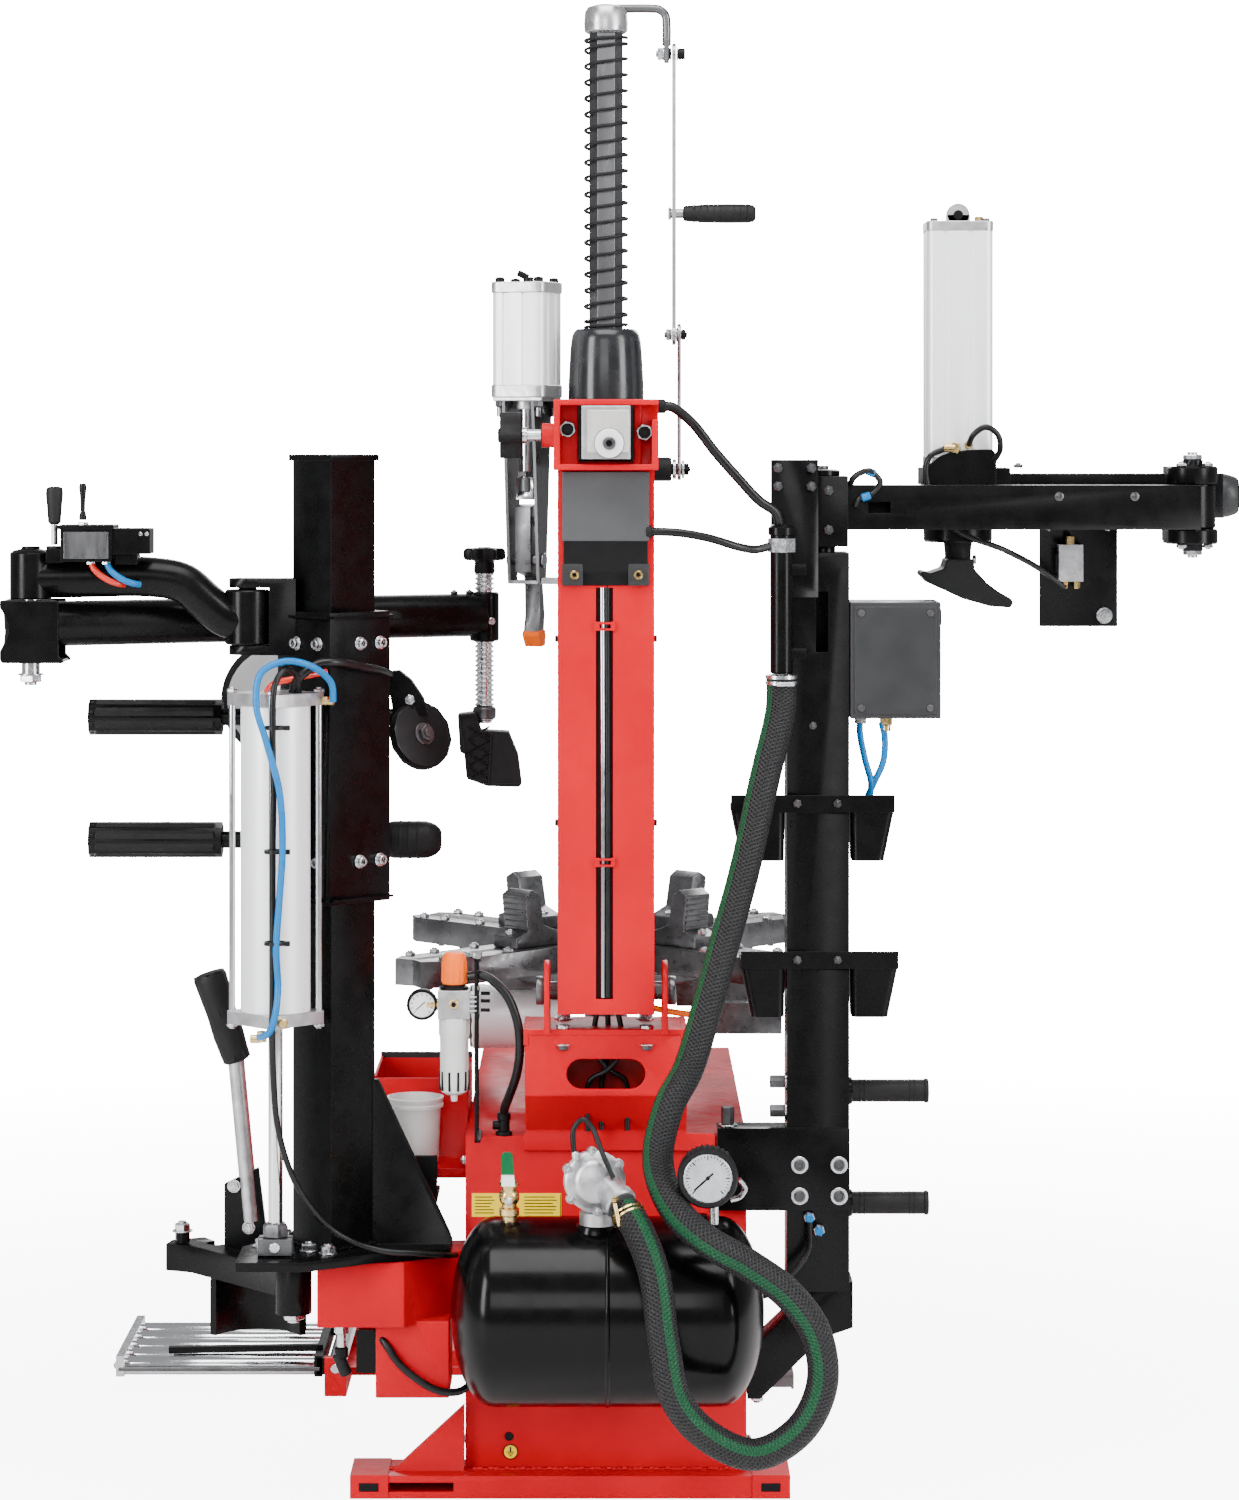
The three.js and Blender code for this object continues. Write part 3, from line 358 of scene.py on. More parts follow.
def braided(name, color, cell, stripe):
    """A woven hose cover with one coloured line along it, its thread crests coloured lighter as painted
    highlight and its grooves darker as painted shade. The UV map is (around, metres along).
    """
    made = surface(name, color, 0.5, variation=0.25, patch=60, bump=0.05, roughness_swing=0.1, specular=0.3)
    nodes, links = made.node_tree.nodes, made.node_tree.links
    shader = nodes["Principled BSDF"]
    threads, stripe_at = 14, 0.62
    uv = nodes.new("ShaderNodeUVMap")
    split = nodes.new("ShaderNodeSeparateXYZ")
    links.new(uv.outputs["UV"], split.inputs["Vector"])

    def math_node(operation, a, b=None):
        node = nodes.new("ShaderNodeMath")
        node.operation = operation
        for socket, value in zip(node.inputs, (a, b)):
            if isinstance(value, (int, float)):
                socket.default_value = value
            elif value is not None:
                links.new(value, socket)
        return node.outputs[0]

    around = math_node("MULTIPLY", split.outputs["X"], 2 * math.pi * threads)
    along = math_node("MULTIPLY", split.outputs["Y"], 2 * math.pi / (cell * MM))
    left = math_node("SINE", math_node("ADD", along, around))
    right = math_node("SINE", math_node("SUBTRACT", along, around))
    weave = math_node("MAXIMUM", left, right)
    relief = nodes.new("ShaderNodeBump")
    relief.inputs["Distance"].default_value = 0.9 * MM
    links.new(weave, relief.inputs["Height"])
    links.new(relief.outputs["Normal"], shader.inputs["Normal"])
    # painted highlight and shade: the weave's crests are coloured up to 2.6 times the hose colour and its
    # grooves down to 0.35 times
    thread = ramp(nodes, links, weave, [c * 0.35 for c in color], [c * 2.6 for c in color], 0.0, 1.0)
    off_stripe = math_node("ABSOLUTE", math_node("SUBTRACT", split.outputs["X"], stripe_at))
    inside = math_node("LESS_THAN", off_stripe, stripe)
    mix = nodes.new("ShaderNodeMix")
    mix.data_type = "RGBA"
    links.new(inside, mix.inputs["Factor"])
    links.new(thread, mix.inputs[6])
    mix.inputs[7].default_value = (0.0, 0.055, 0.018, 1)
    links.new(mix.outputs[2], shader.inputs["Base Color"])
    return made


RED = surface("red_powder_coat", (0.53, 0.0, 0.009), 0.36, coat=0.03, variation=0.06, speck=500, bump=0.015,
              specular=0.1)
BLACK = flecked(surface("black_powder_coat", (0.002, 0.002, 0.0022), 0.28, coat=0.03, variation=0.3,
                        speck=650, bump=0.03, roughness_swing=0.05, specular=0.13), (0.012, 0.012, 0.013),
                0.3, 700)
TANK_BLACK = surface("black_enamel", (0.0015, 0.0015, 0.0017), 0.2, coat=0.03, variation=0.2, bump=0.01,
                     roughness_swing=0.04, speck=260, specular=0.15)
GROUND_STEEL = surface("ground_steel", (0.62, 0.61, 0.58), 0.45, 0.55, variation=0.08, patch=60, bump=0.02,
                       stretch=(1, 1, 0.2))
BELL_GREY = surface("dark_moulded_plastic", (0.014, 0.015, 0.017), 0.24, coat=0.15, variation=0.1,
                    bump=0.006, specular=0.3)
GREY = surface("grey_sheet_cover", (0.022, 0.0225, 0.024), 0.42, variation=0.1, speck=1600, bump=0.03,
               specular=0.3)
LIGHT_GREY = surface("grey_moulded_plastic", (0.055, 0.056, 0.059), 0.42, variation=0.1, speck=1600,
                     bump=0.03, specular=0.3)
PALE_GREY = surface("pale_grey_plastic", (0.52, 0.52, 0.53), 0.42, variation=0.05, speck=1600, bump=0.02)
DARK = surface("dark_moulded_plastic", (0.004, 0.004, 0.0045), 0.4, variation=0.2, speck=1600, bump=0.03,
               specular=0.15)
STEEL = surface("zinc_plated_steel", (0.66, 0.67, 0.69), 0.27, 1.0, variation=0.12, patch=60, bump=0.01)
BRIGHT_BAR = surface("drawn_steel", (0.34, 0.34, 0.35), 0.3, 1.0, variation=0.1, patch=40, bump=0.01)
DARK_STEEL = surface("oiled_steel", (0.11, 0.11, 0.115), 0.34, 0.85, variation=0.2, patch=30, bump=0.02,
                     stretch=(1, 1, 0.2))
CHROME = surface("hard_chrome", (0.80, 0.81, 0.83), 0.11, 1.0, variation=0.04, bump=0.003,
                 roughness_swing=0.03)
CAST = flecked(surface("cast_steel", (0.48, 0.48, 0.495), 0.3, 0.85, variation=0.12, patch=22, speck=420,
                       bump=0.05), (0.58, 0.58, 0.60), 0.3, 60)
DARK_CAST = surface("forged_steel", (0.13, 0.13, 0.135), 0.34, 0.85, variation=0.25, patch=30, speck=420,
                    bump=0.05)
ALUMINIUM = surface("anodised_aluminium", (0.93, 0.94, 0.96), 0.42, 0.35, variation=0.03, patch=14,
                    bump=0.01, stretch=(1, 1, 0.05))
CAST_ALUMINIUM = surface("cast_aluminium", (0.50, 0.50, 0.515), 0.36, 0.85, variation=0.15, patch=60,
                         speck=700, bump=0.08)
RUBBER = surface("black_rubber", (0.005, 0.005, 0.0055), 0.6, variation=0.3, speck=1200, bump=0.04,
                 specular=0.25)
SLEEVE = surface("cable_sleeve", (0.004, 0.004, 0.0045), 0.34, variation=0.3, bump=0.01, specular=0.3)
BLUE = surface("blue_air_line", (0.0, 0.15, 0.42), 0.3, coat=0.05, specular=0.2, variation=0.08, bump=0.004)
RED_LINE = surface("red_air_line", (0.62, 0.02, 0.006), 0.28, coat=0.15, variation=0.08, bump=0.004)
ORANGE = surface("orange_plastic", (0.95, 0.14, 0.0), 0.5, variation=0.05, speck=1500, bump=0.02,
                 specular=0.12)
GREEN = surface("green_vinyl", (0.0, 0.10, 0.03), 0.45, specular=0.2, variation=0.1, bump=0.01)
WHITE = surface("white_plastic", (0.90, 0.90, 0.88), 0.36, variation=0.02, bump=0.015)
BOWL = surface("clear_plastic_bowl", (0.80, 0.81, 0.79), 0.16, coat=0.5, variation=0.04, bump=0.004,
               transmission=0.25)
BRASS = surface("brass", (0.76, 0.54, 0.22), 0.25, 1.0, variation=0.15, patch=80, bump=0.01)
YELLOW = surface("yellow_label", (0.95, 0.66, 0.01), 0.5, variation=0.03, bump=0.004, specular=0.1)
# the saddle's red paint made darker for the inside of its slot: painted shade
RED_PAINTED_SHADE = surface("red_paint_with_painted_shade", (0.30, 0.002, 0.003), 0.5, variation=0.2, bump=0.03, specular=0.2)
PAPER = surface("white_dial", (0.90, 0.90, 0.88), 0.3, coat=0.6, variation=0.02, bump=0.002)
PEDAL_GREY = surface("pedal_rubber", (0.10, 0.10, 0.105), 0.55, variation=0.15, bump=0.04)
HOSE_COVER = braided("braided_hose", (0.0055, 0.0055, 0.006), 5.5, 0.05)


# ---- camera, lights and floor ----
CAMERA_AT = (0, -5768, 1400)
BACKDROP_STRENGTH = 25


def add_camera():
    data = bpy.data.cameras.new("camera")
    data.lens = 97.85
    data.sensor_width = 36
    data.shift_x = 0.009
    data.shift_y = -0.2133
    camera = bpy.data.objects.new("camera", data)
    camera.location = Vector(CAMERA_AT) * MM
    camera.rotation_euler = (math.radians(90), 0, 0)
    bpy.context.scene.collection.objects.link(camera)
    bpy.context.scene.camera = camera


def add_light(name, at, target, size, power):
    data = bpy.data.lights.new(name, "AREA")
    data.shape = "RECTANGLE"
    data.size, data.size_y = size
    data.energy = power
    light = bpy.data.objects.new(name, data)
    light.location = at
    light.rotation_euler = (Vector(target) - Vector(at)).to_track_quat("-Z", "Y").to_euler()
    bpy.context.scene.collection.objects.link(light)


def white_world():
    """An even sky for the lighting, seen as plain white by the camera."""
    world = bpy.data.worlds.new("studio")
    world.use_nodes = True
    nodes, links = world.node_tree.nodes, world.node_tree.links
    sky = nodes["Background"]
    sky.inputs["Color"].default_value = (0.93, 0.94, 0.96, 1)
    sky.inputs["Strength"].default_value = 0.42
    backdrop = nodes.new("ShaderNodeBackground")
    backdrop.inputs["Color"].default_value = (1, 1, 1, 1)
    backdrop.inputs["Strength"].default_value = BACKDROP_STRENGTH
    seen = nodes.new("ShaderNodeLightPath")
    mix = nodes.new("ShaderNodeMixShader")
    links.new(seen.outputs["Is Camera Ray"], mix.inputs[0])
    links.new(sky.outputs[0], mix.inputs[1])
    links.new(backdrop.outputs[0], mix.inputs[2])
    links.new(mix.outputs[0], nodes["World Output"].inputs["Surface"])
    bpy.context.scene.world = world


def floor_material():
    """Pale floor that brightens with distance until it meets the white backdrop."""
    made = bpy.data.materials.new("studio_floor")
    made.use_nodes = True
    nodes, links = made.node_tree.nodes, made.node_tree.links
    base = nodes["Principled BSDF"]
    base.inputs["Base Color"].default_value = (0.9, 0.9, 0.9, 1)
    base.inputs["Roughness"].default_value = 0.6
    glow = nodes.new("ShaderNodeEmission")
    glow.inputs["Strength"].default_value = BACKDROP_STRENGTH
    place_on_floor = nodes.new("ShaderNodeNewGeometry")
    distance = nodes.new("ShaderNodeVectorMath")
    distance.operation = "LENGTH"
    fade = nodes.new("ShaderNodeMapRange")
    fade.interpolation_type = "SMOOTHSTEP"
    fade.inputs["From Min"].default_value = 0.6
    fade.inputs["From Max"].default_value = 6.0
    fade.inputs["To Min"].default_value = 0.3
    seen = nodes.new("ShaderNodeLightPath")
    share = nodes.new("ShaderNodeMath")
    share.operation = "MULTIPLY"
    mix = nodes.new("ShaderNodeMixShader")
    links.new(place_on_floor.outputs["Position"], distance.inputs[0])
    links.new(distance.outputs["Value"], fade.inputs["Value"])
    links.new(fade.outputs["Result"], share.inputs[0])
    links.new(seen.outputs["Is Camera Ray"], share.inputs[1])
    links.new(share.outputs["Value"], mix.inputs[0])
    links.new(base.outputs[0], mix.inputs[1])
    links.new(glow.outputs[0], mix.inputs[2])
    links.new(mix.outputs[0], nodes["Material Output"].inputs["Surface"])
    return made


def add_stage():
    white_world()
    data = bpy.data.meshes.new("floor")
    half = 40.0
    data.from_pydata([(-half, -half, 0), (half, -half, 0), (half, half, 0), (-half, half, 0)], [],
                     [(0, 1, 2, 3)])
    floor = bpy.data.objects.new("floor", data)
    floor.location.z = -0.0006
    data.materials.append(floor_material())
    bpy.context.scene.collection.objects.link(floor)
    aim = (0, -0.2, 1.0)
    add_light("left_softbox", (-3.2, -3.0, 2.1), aim, (1.2, 3.0), 210)
    add_light("right_softbox", (3.2, -2.6, 2.1), aim, (1.2, 3.0), 170)
    add_light("top_softbox", (0, -1.6, 4.4), (0, 0, 0.6), (3.0, 2.4), 200)
    add_light("camera_softbox", (-0.6, -6.5, 3.0), aim, (3.0, 2.0), 90)
    add_light("back_softbox", (0.6, 3.4, 2.6), aim, (3.0, 1.6), 110)


# ---- cords ----
HOSE_RADIUS = 20
INFLATOR_HOSE = [
    (24, -616, 414), (40, -642, 394), (60, -668, 345), (72, -680, 262), (88, -684, 190), (126, -684, 146),
    (186, -682, 122), (242, -680, 152), (270, -678, 210), (262, -676, 272), (228, -674, 320),
    (178, -670, 356),
    (126, -668, 386), (88, -640, 418), (66, -590, 470), (80, -560, 535), (106, -530, 580), (132, -510, 662),
    (156, -490, 745), (180, -470, 828), (208, -450, 950), (229, -426, 1035), (230, -425, 1079),
]
HEAD_CABLES = {
    "head_cable_upper": (6.5, [
        (76, -448, 1431), (86, -448, 1430), (112, -448, 1410), (142, -446, 1372), (172, -442, 1338),
        (200, -438, 1308), (222, -432, 1292), (228, -427, 1274)]),
    "head_cable_lower": (5.5, [
        (56.5, -476, 1268), (72, -476, 1268), (100, -474, 1266), (136, -468, 1259), (172, -456, 1248),
        (196, -442, 1244), (214, -434, 1248)]),
}
LIFT_HOSE = [
    (-352, -510, 1050), (-354, -516, 1074), (-380, -540, 1098), (-412, -556, 1104), (-440, -566, 1090),
    (-446, -570, 1050), (-432, -574, 1000), (-416, -576, 940), (-412, -576, 870), (-416, -576, 800),
    (-420, -576, 740), (-418, -574, 690), (-420, -582, 660), (-428, -576, 634), (-444, -548, 622),
]
FILTER_HOSE = [(-180, -424, 684), (-160, -432, 686), (-132, -436, 664), (-116, -436, 626),
               (-113, -430, 590),
               (-117, -418, 556), (-127, -400, 524), (-134, -384, 504), (-135, -377, 492)]
SIGNAL_LINE = [
    (-396, -512, 1062), (-398, -528, 1084), (-410, -552, 1094), (-422, -566, 1076), (-425, -568, 1020),
    (-424, -568, 940), (-425, -568, 862), (-425, -568, 745), (-425, -568, 680), (-426, -567, 640),
    (-426, -560, 607), (-425, -552, 561), (-422, -545, 516), (-413, -535, 471), (-403, -525, 440),
    (-390, -517, 413), (-372, -507, 386), (-349, -495, 362), (-322, -489, 346), (-300, -487, 339),
    (-276, -487, 335), (-252, -482, 333), (-230, -474, 330), (-208, -462, 326), (-196, -440, 322),
]
CABINET_LINES = {
    "blue_line_left": [(338, -352, 1020), (337, -354, 1000), (344, -356, 962), (352, -356, 930),
                       (347, -354, 905),
                       (336, -350, 884)],
    "blue_line_right": [(366, -352, 1012), (370, -354, 994), (368, -356, 960), (355, -354, 930),
                        (346, -350, 906),
                        (348, -346, 886)],
}


def length_of(route):
    return sum((b - a).length for a, b in zip(route, route[1:]))


def add_cord(name, points, radius, material, body, slot="cable",
             replaces=(),
             sides=THIN):
    """A cord as a mesh tube along a smooth curve, with a UV map of (around, metres along).

    Every cord on this machine goes back into it, and one given no body is left without a parent.
    """
    route = smooth_route(points, max(2.5, radius * 0.35))
    shape = Shape()
    shape.loft(swept_rings(route, radius, sides), material)
    made = shape.piece(name, None, slot)
    uv = made.data.uv_layers.new(name="UVMap")
    stations = [0.0]
    for a, b in zip(route, route[1:]):
        stations.append(stations[-1] + (b - a).length * MM)
    for polygon in made.data.polygons:
        corners = [made.data.loops[i].vertex_index for i in polygon.loop_indices]
        seam = max(c % sides for c in corners) - min(c % sides for c in corners) > 1
        for loop, vertex in zip(polygon.loop_indices, corners):
            around = vertex % sides
            if seam and around == 0:
                around = sides
            uv.data[loop].uv = (around / sides, stations[vertex // sides])
    if body:
        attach(made, body)
    if replaces:
        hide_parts(*replaces)
    Vector(points[0]) * MM
    round(length_of(route) * MM, 3)
    return made


def add_cords():
    add_cord("hose_of_bead_inflator", INFLATOR_HOSE, HOSE_RADIUS, HOSE_COVER, "root",
             "hose", ["inflator_hose"], ROUND)
    for node, (radius, points) in HEAD_CABLES.items():
        cable = add_cord(node + "_sleeve", points, radius, SLEEVE, None, replaces=[node])
        Vector(points[1]) * MM
        Vector(points[-1]) * MM
        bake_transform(cable)
    add_cord("lift_air_line", LIFT_HOSE, 4.5, BLUE, "carriage", slot="blue_hose", replaces=["lift_hose"])
    line = add_cord("lift_signal_line", SIGNAL_LINE, 4, SLEEVE, None)
    Vector(SIGNAL_LINE[9]) * MM
    Vector(SIGNAL_LINE[17]) * MM
    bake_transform(line)
    add_cord("filter_hose", FILTER_HOSE, 6, SLEEVE, "root")
    for name, points in CABINET_LINES.items():
        add_cord(name, points, 4.5, BLUE, "root", slot="blue_hose")


# ---- tilting tower ----
TOWER_REAR = place("tower_column").y0
SHAFT_AT = Vector((0, PIVOTS["upper_link_swing"].y, 0))


def head_block():
    """A shallow red frame round the arm's sleeve, with its screws and the boss for the lock."""
    low, high, half, front, rear = 1348, 1440, 68, TOWER_REAR + 2, TOWER_REAR - 34
    frame_shape = Shape()
    for z in ((high - 8, high), (low, low + 8)):
        frame_shape.box((-half, half), (rear, front), z, RED)
    frame_shape.box((-half, -half + 9), (rear, front), (low + 4, high - 4), RED)
    frame_shape.box((half - 9, half), (rear, front), (low + 4, high - 26), RED)
    frame_shape.box((-half + 8, -36), (TOWER_REAR - 10, front), (low + 4, high - 4), RED)
    frame_shape.box((36, half - 22), (TOWER_REAR - 10, front), (low + 4, high - 4), RED)
    frame_shape.piece("head_frame", "tower", "red_paint", bevel=2.2, segments=3)
    screws = Shape()
    for x, z in ((-50, 1401), (50, 1397)):
        at = (x, TOWER_REAR - 10, z)
        screws.rod(at, (x, TOWER_REAR - 15, z), 11.5, STEEL, edge=1, sides=6)
        screws.rod((x, TOWER_REAR - 15, z), (x, TOWER_REAR - 19, z), 8, DARK, edge=1)
        screws.rod((x, TOWER_REAR - 19, z), (x, TOWER_REAR - 20, z), 3.6, RUBBER, sides=6)
    for x in (-65, 65):
        for z in (1127, 886):
            screws.rod((x - 2, -430, z), (x + 2, -430, z), 4.5, DARK, edge=0.8)
    screws.piece("head_screws", "tower", "steel")


def tower_tubes():
    """Two air tubes in the column's rear slot, held by clips, and a near-black sheet behind them that is
    painted shade in the slot.
    """
    y = TOWER_REAR + 3
    tubes = Shape()
    for x, radius, material in ((-4, 3.1, CHROME), (2.5, 3.3, SLEEVE)):
        tubes.tube([(x, y, 662), (x, y, 900), (x - 1, y, 1212)], radius, material, 12, 40)
    # painted shade: a near-black sheet 7 mm inside the slot stands for the shade in the hollow column
    tubes.box((-13.4, 9.4), (TOWER_REAR + 7, TOWER_REAR + 9), (658, 1200), DARK)
    tubes.piece("tower_air_tubes", "tower", "cable")
    clips = Shape()
    for z in (1145, 838):
        for shift in (-4, 4):
            clips.beam((-15, TOWER_REAR - 3, z + shift), (-1, TOWER_REAR - 5, z + shift), 3, 2, RED, Y)
            clips.beam((-1, TOWER_REAR - 5, z + shift), (12, TOWER_REAR - 3, z + shift), 3, 2, RED, Y)
        clips.box((-15, -8), (TOWER_REAR - 4, TOWER_REAR + 0.5), (z - 6, z + 6), RED)
        clips.box((6, 12), (TOWER_REAR - 4, TOWER_REAR + 0.5), (z - 6, z + 6), RED)
    clips.piece("tube_clips", "tower", "red_paint", bevel=0.6)


def rear_cover():
    """A grey cover with a sloping lower panel and two screwed tabs."""
    box = place("rear_cover")
    back, face = box.y1, box.y0
    knee, foot = box.z0 + 58, box.z0 + 4
    cover = Shape()
    cover.prism([(back, box.z1), (face, box.z1), (face, knee), (back, knee)], (box.x0, box.x1), LIGHT_GREY,
                "x")
    cover.prism([(back, knee + 1), (face, knee), (face + 5, foot + 18), (back - 2, foot + 10),
                 (back, foot + 10)], (box.x0 + 2, box.x1 - 2), DARK, "x")
    for low, high in ((box.x0, box.x0 + 27), (box.x1 - 27, box.x1)):
        cover.box((low, high), (face + 4, back), (box.z0, box.z0 + 29), GREY)
    cover.box((box.x0, box.x1), (back - 3, back), (box.z0, box.z0 + 20), DARK)
    cover.piece("tower_rear_cover", "tower", "grey_cover", ["rear_cover"], bevel=1.5)
    screws = Shape()
    for x in (box.x0 + 16, box.x1 - 14):
        screws.socket_screw((x, face + 4, box.z0 + 14), -Y, 12, BRASS, DARK)
    screws.piece("rear_cover_screws", "tower", "steel")


def lock_pin():
    at = PIVOTS["lock_knob_turn"]
    pin = Shape()
    pin.rod((-110.5, at.y, at.z), (-84.5, at.y, at.z), 7.6, STEEL, edge=1)
    pin.rod((-110.5, at.y, at.z), (-103, at.y, at.z), 11, STEEL, edge=1)
    pin.rod((-142, at.y, at.z), (-138, at.y, at.z), 9, RUBBER, edge=1.5)
    pin.piece("lock_pin", "lock_knob", "steel")
    gland = Shape()
    gland.rod((62, -448, 1431), (78, -448, 1431), 9.5, RUBBER, edge=1.5, sides=12)
    gland.rod((52, -476, 1268), (60, -476, 1268), 8.5, RUBBER, edge=1.5, sides=12)
    gland.piece("cable_glands", "tower", "cable")


# ---- arm, shaft and its handle ----
def arm_details():
    y = SHAFT_AT.y
    rear = place("slide_arm").y0
    block = Shape()
    block.box((-31.5, 31.5), (rear - 0.5, rear + 20.5), (1362.5, 1431.5), CAST_ALUMINIUM)
    block.box((-24, 30), (rear - 4, rear), (1371, 1426), GROUND_STEEL)
    block.piece("arm_end_block", "arm", "aluminium", bevel=1.2)
    washer = Shape()
    washer.turned([(19.6, 0), (19.6, 1), (18.4, 1)], DARK_STEEL, (4, rear - 4, 1383), -Y)
    washer.turned([(18.8, 0), (18.8, 2.5), (17.8, 3.5), (9, 3.5), (9, 2)], ALUMINIUM, (4, rear - 4, 1383),
                  -Y)
    washer.socket_screw((4, rear - 6, 1383), -Y, 16, DARK_STEEL, DARK)
    washer.piece("arm_end_washer", "arm", "steel")
    bell = Shape()
    profile = [(51, 1440.5), (50.9, 1462), (50, 1480), (48.6, 1505), (47.2, 1520), (45.8, 1528),
               (43, 1533.5), (39.2, 1536.6), (27, 1537.2)]
    bell.turned(profile, BELL_GREY, SHAFT_AT)
    bell.turned([(46, 1434), (46, 1441)], WHITE, SHAFT_AT)
    bell.piece("bell_cover", "arm", "black_paint")
    boss = Shape()
    z = PIVOTS["lower_link_swing"].z
    boss.rod((46, y, z), (88.5, y, z), 16.3, RUBBER, edge=1.5)
    boss.rod((90, y, z), (95, y, z), 13.5, STEEL, edge=1)
    boss.rod((102.5, y, z), (106, y, z), 12.5, STEEL, edge=1)
    boss.bolt((106, y, z), X, 15, DARK, 6)
    boss.piece("handle_boss", "arm", "rubber")


def shaft_spring():
    """A right-handed coil spring with closed ends."""
    box = place("shaft_spring")
    wire, turns, steps = 2.2, 19.5, 22
    radius = (box.x1 - box.x0) / 2 - wire
    low, high = box.z0 + wire, box.z1 - wire
    route = []
    for i in range(int(turns * steps) + 1):
        share = i / (turns * steps)
        angle = share * turns * 2 * math.pi + math.pi
        dead = 1.1 / turns
        rise = min(max((share - dead) / (1 - 2 * dead), 0), 1)
        lift = low + (high - low - 8 * wire) * rise + min(share / dead, 1) * 4 * wire
        lift += max((share - 1 + dead) / dead, 0) * 4 * wire
        route.append(Vector((radius * math.cos(angle), SHAFT_AT.y + radius * math.sin(angle),
                             min(lift, high))))
    coil = Shape()
    coil.loft(swept_rings(route, wire, 8), RUBBER)
    made = coil.piece("coil_spring", "arm", "black_paint", ["shaft_spring"])
    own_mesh(made)


def hex_shaft():
    y = SHAFT_AT.y
    box = place("hex_shaft")
    shaft = Shape()
    shaft.loft([ring(SHAFT_AT + Z * z, Z, 23, 6, X) for z in (box.z0, 1940)], DARK_STEEL)
    shaft.piece("hexagonal_shaft", "shaft", "steel", ["hex_shaft"], bevel=1.2)
    cap = Shape()
    cap.turned([(26, 1936.5), (29.5, 1939), (30, 1950), (29, 1966), (25, 1972), (14, 1975.5), (0, 1976.5)],
               CAST, SHAFT_AT, sides=14)
    cap.tube([(6, y, 1970.5), (30, y, 1970.5), (58, y, 1970.5), (72, y, 1969), (80, y, 1962), (82, y, 1948),
              (82, y, 1920)], 5.9, DARK_STEEL, step=3)
    cap.box((78.5, 85.5), (y - 8, y + 8), (box.z1 - 80, box.z1 - 48), DARK_STEEL)
    cap.piece("shaft_cap", "shaft", "cast_steel", bevel=1.5)
    bolts = Shape()
    z = PIVOTS["upper_link_swing"].z
    bolts.bolt((78.5, y, z), -X, 17, STEEL, 7, washer=18)
    bolts.rod((85.5, y, z), (88.5, y, z), 8, DARK, edge=0.6)
    bolts.rod((95.4, y, z), (97, y, z), 10, STEEL, edge=0.4)
    bolts.rod((97, y, z), (107, y, z), 7.5, DARK, edge=1)
    bolts.piece("shaft_clevis_bolt", "shaft", "steel")


def handle_links():
    """The two flat bars of the handle and its black grip."""
    y = SHAFT_AT.y
    top, elbow = PIVOTS["upper_link_swing"].z, place("lower_link").z1 - 15
    grip_z = 1693
    upper = Shape()
    upper.box((89.4, 94.6), (y - 11, y + 11), (elbow, top), BRIGHT_BAR)
    for z in (elbow, top):
        upper.rod((89.4, y, z), (94.6, y, z), 14, BRIGHT_BAR, edge=0.6)
    upper.rod((84, y, grip_z), (105, y, grip_z), 6.5, BRIGHT_BAR, edge=1)
    upper.rod((84, y, grip_z), (88, y, grip_z), 9, BRIGHT_BAR, edge=1, sides=6)
    upper.bolt((89, y, elbow), -X, 16, BRIGHT_BAR, 6, washer=16)
    upper.rod((95, y, elbow), (96.4, y, elbow), 9, BRIGHT_BAR)
    upper.bolt((101.8, y, elbow), X, 15, DARK, 6)
    upper.piece("handle_upper_bar", "upper_link", "steel", ["upper_link"], bevel=0.5)
    grip = Shape()
    grip.turned([(8.5, 0), (10.5, 1.5), (11, 8), (12.4, 30), (13, 60), (12.6, 88), (11.4, 95), (8, 98),
                 (0, 98.4)], RUBBER, (104.5, y, grip_z), X)
    for i in range(9):
        grip.turned([(12.2, 0), (12.9 + 0.05 * i, 1), (12.2, 2.2)], RUBBER, (118 + 9 * i, y, grip_z), X)
    grip.piece("handle_grip", "upper_link", "rubber")


# ---- leverless tool, built about its own upright axis and then yawed ----
TOOL_AXIS = JOINTS["tool_lever_swing"]["axis"]
TOOL_YAW = math.atan2(TOOL_AXIS[1], TOOL_AXIS[0])
TOOL_AT = PIVOTS["tool_lever_swing"]
TOOL_FRAME = Matrix.Translation((TOOL_AT.x, TOOL_AT.y, 0)) @ Matrix.Rotation(TOOL_YAW, 4, "Z")


def yawed(shape):
    """Turns and moves a shape built about the tool's own upright axis into its place."""
    bmesh.ops.transform(shape.mesh, matrix=TOOL_FRAME, verts=shape.mesh.verts)
    return shape


def extrusion_outline(half, corner=9, groove=2.2):
    """A square section with round corners and two shallow grooves in each side."""
    side = []
    for i in range(5):
        angle = math.radians(22.5 * i)
        side.append((half - corner + corner * math.cos(angle), half - corner + corner * math.sin(angle)))
    for at in (half * 0.45, -half * 0.3):
        side += [(at + 4, half), (at + 3, half - groove), (at - 3, half - groove), (at - 4, half)]
    outline = []
    for quarter in range(4):
        turn = math.radians(90 * quarter)
        cos, sin = math.cos(turn), math.sin(turn)
        outline += [(x * cos - y * sin, x * sin + y * cos) for x, y in side]
    return outline


def tool_barrel():
    """An aluminium profile cylinder that works the tool."""
    half = 37.5
    body = Shape()
    body.prism(extrusion_outline(half), (1460, 1586), ALUMINIUM)
    yawed(body).piece("tool_barrel", "shaft", "aluminium", ["tool_cylinder"])


def tool_end_plates():
    """The cylinder's end plates and the collar below."""
    plates = Shape()
    for low, high in ((1444, 1461), (1585, 1600)):
        plates.prism(extrusion_outline(39.4, 11, 0.01), (low, high), CAST_ALUMINIUM)
    plates.box((-36, 36), (-36, 36), (1439, 1445), CAST_ALUMINIUM)
    plates.turned([(17, 1428), (17, 1440)], CAST_ALUMINIUM)
    yawed(plates).piece("tool_end_plates", "shaft", "aluminium", bevel=1.5)


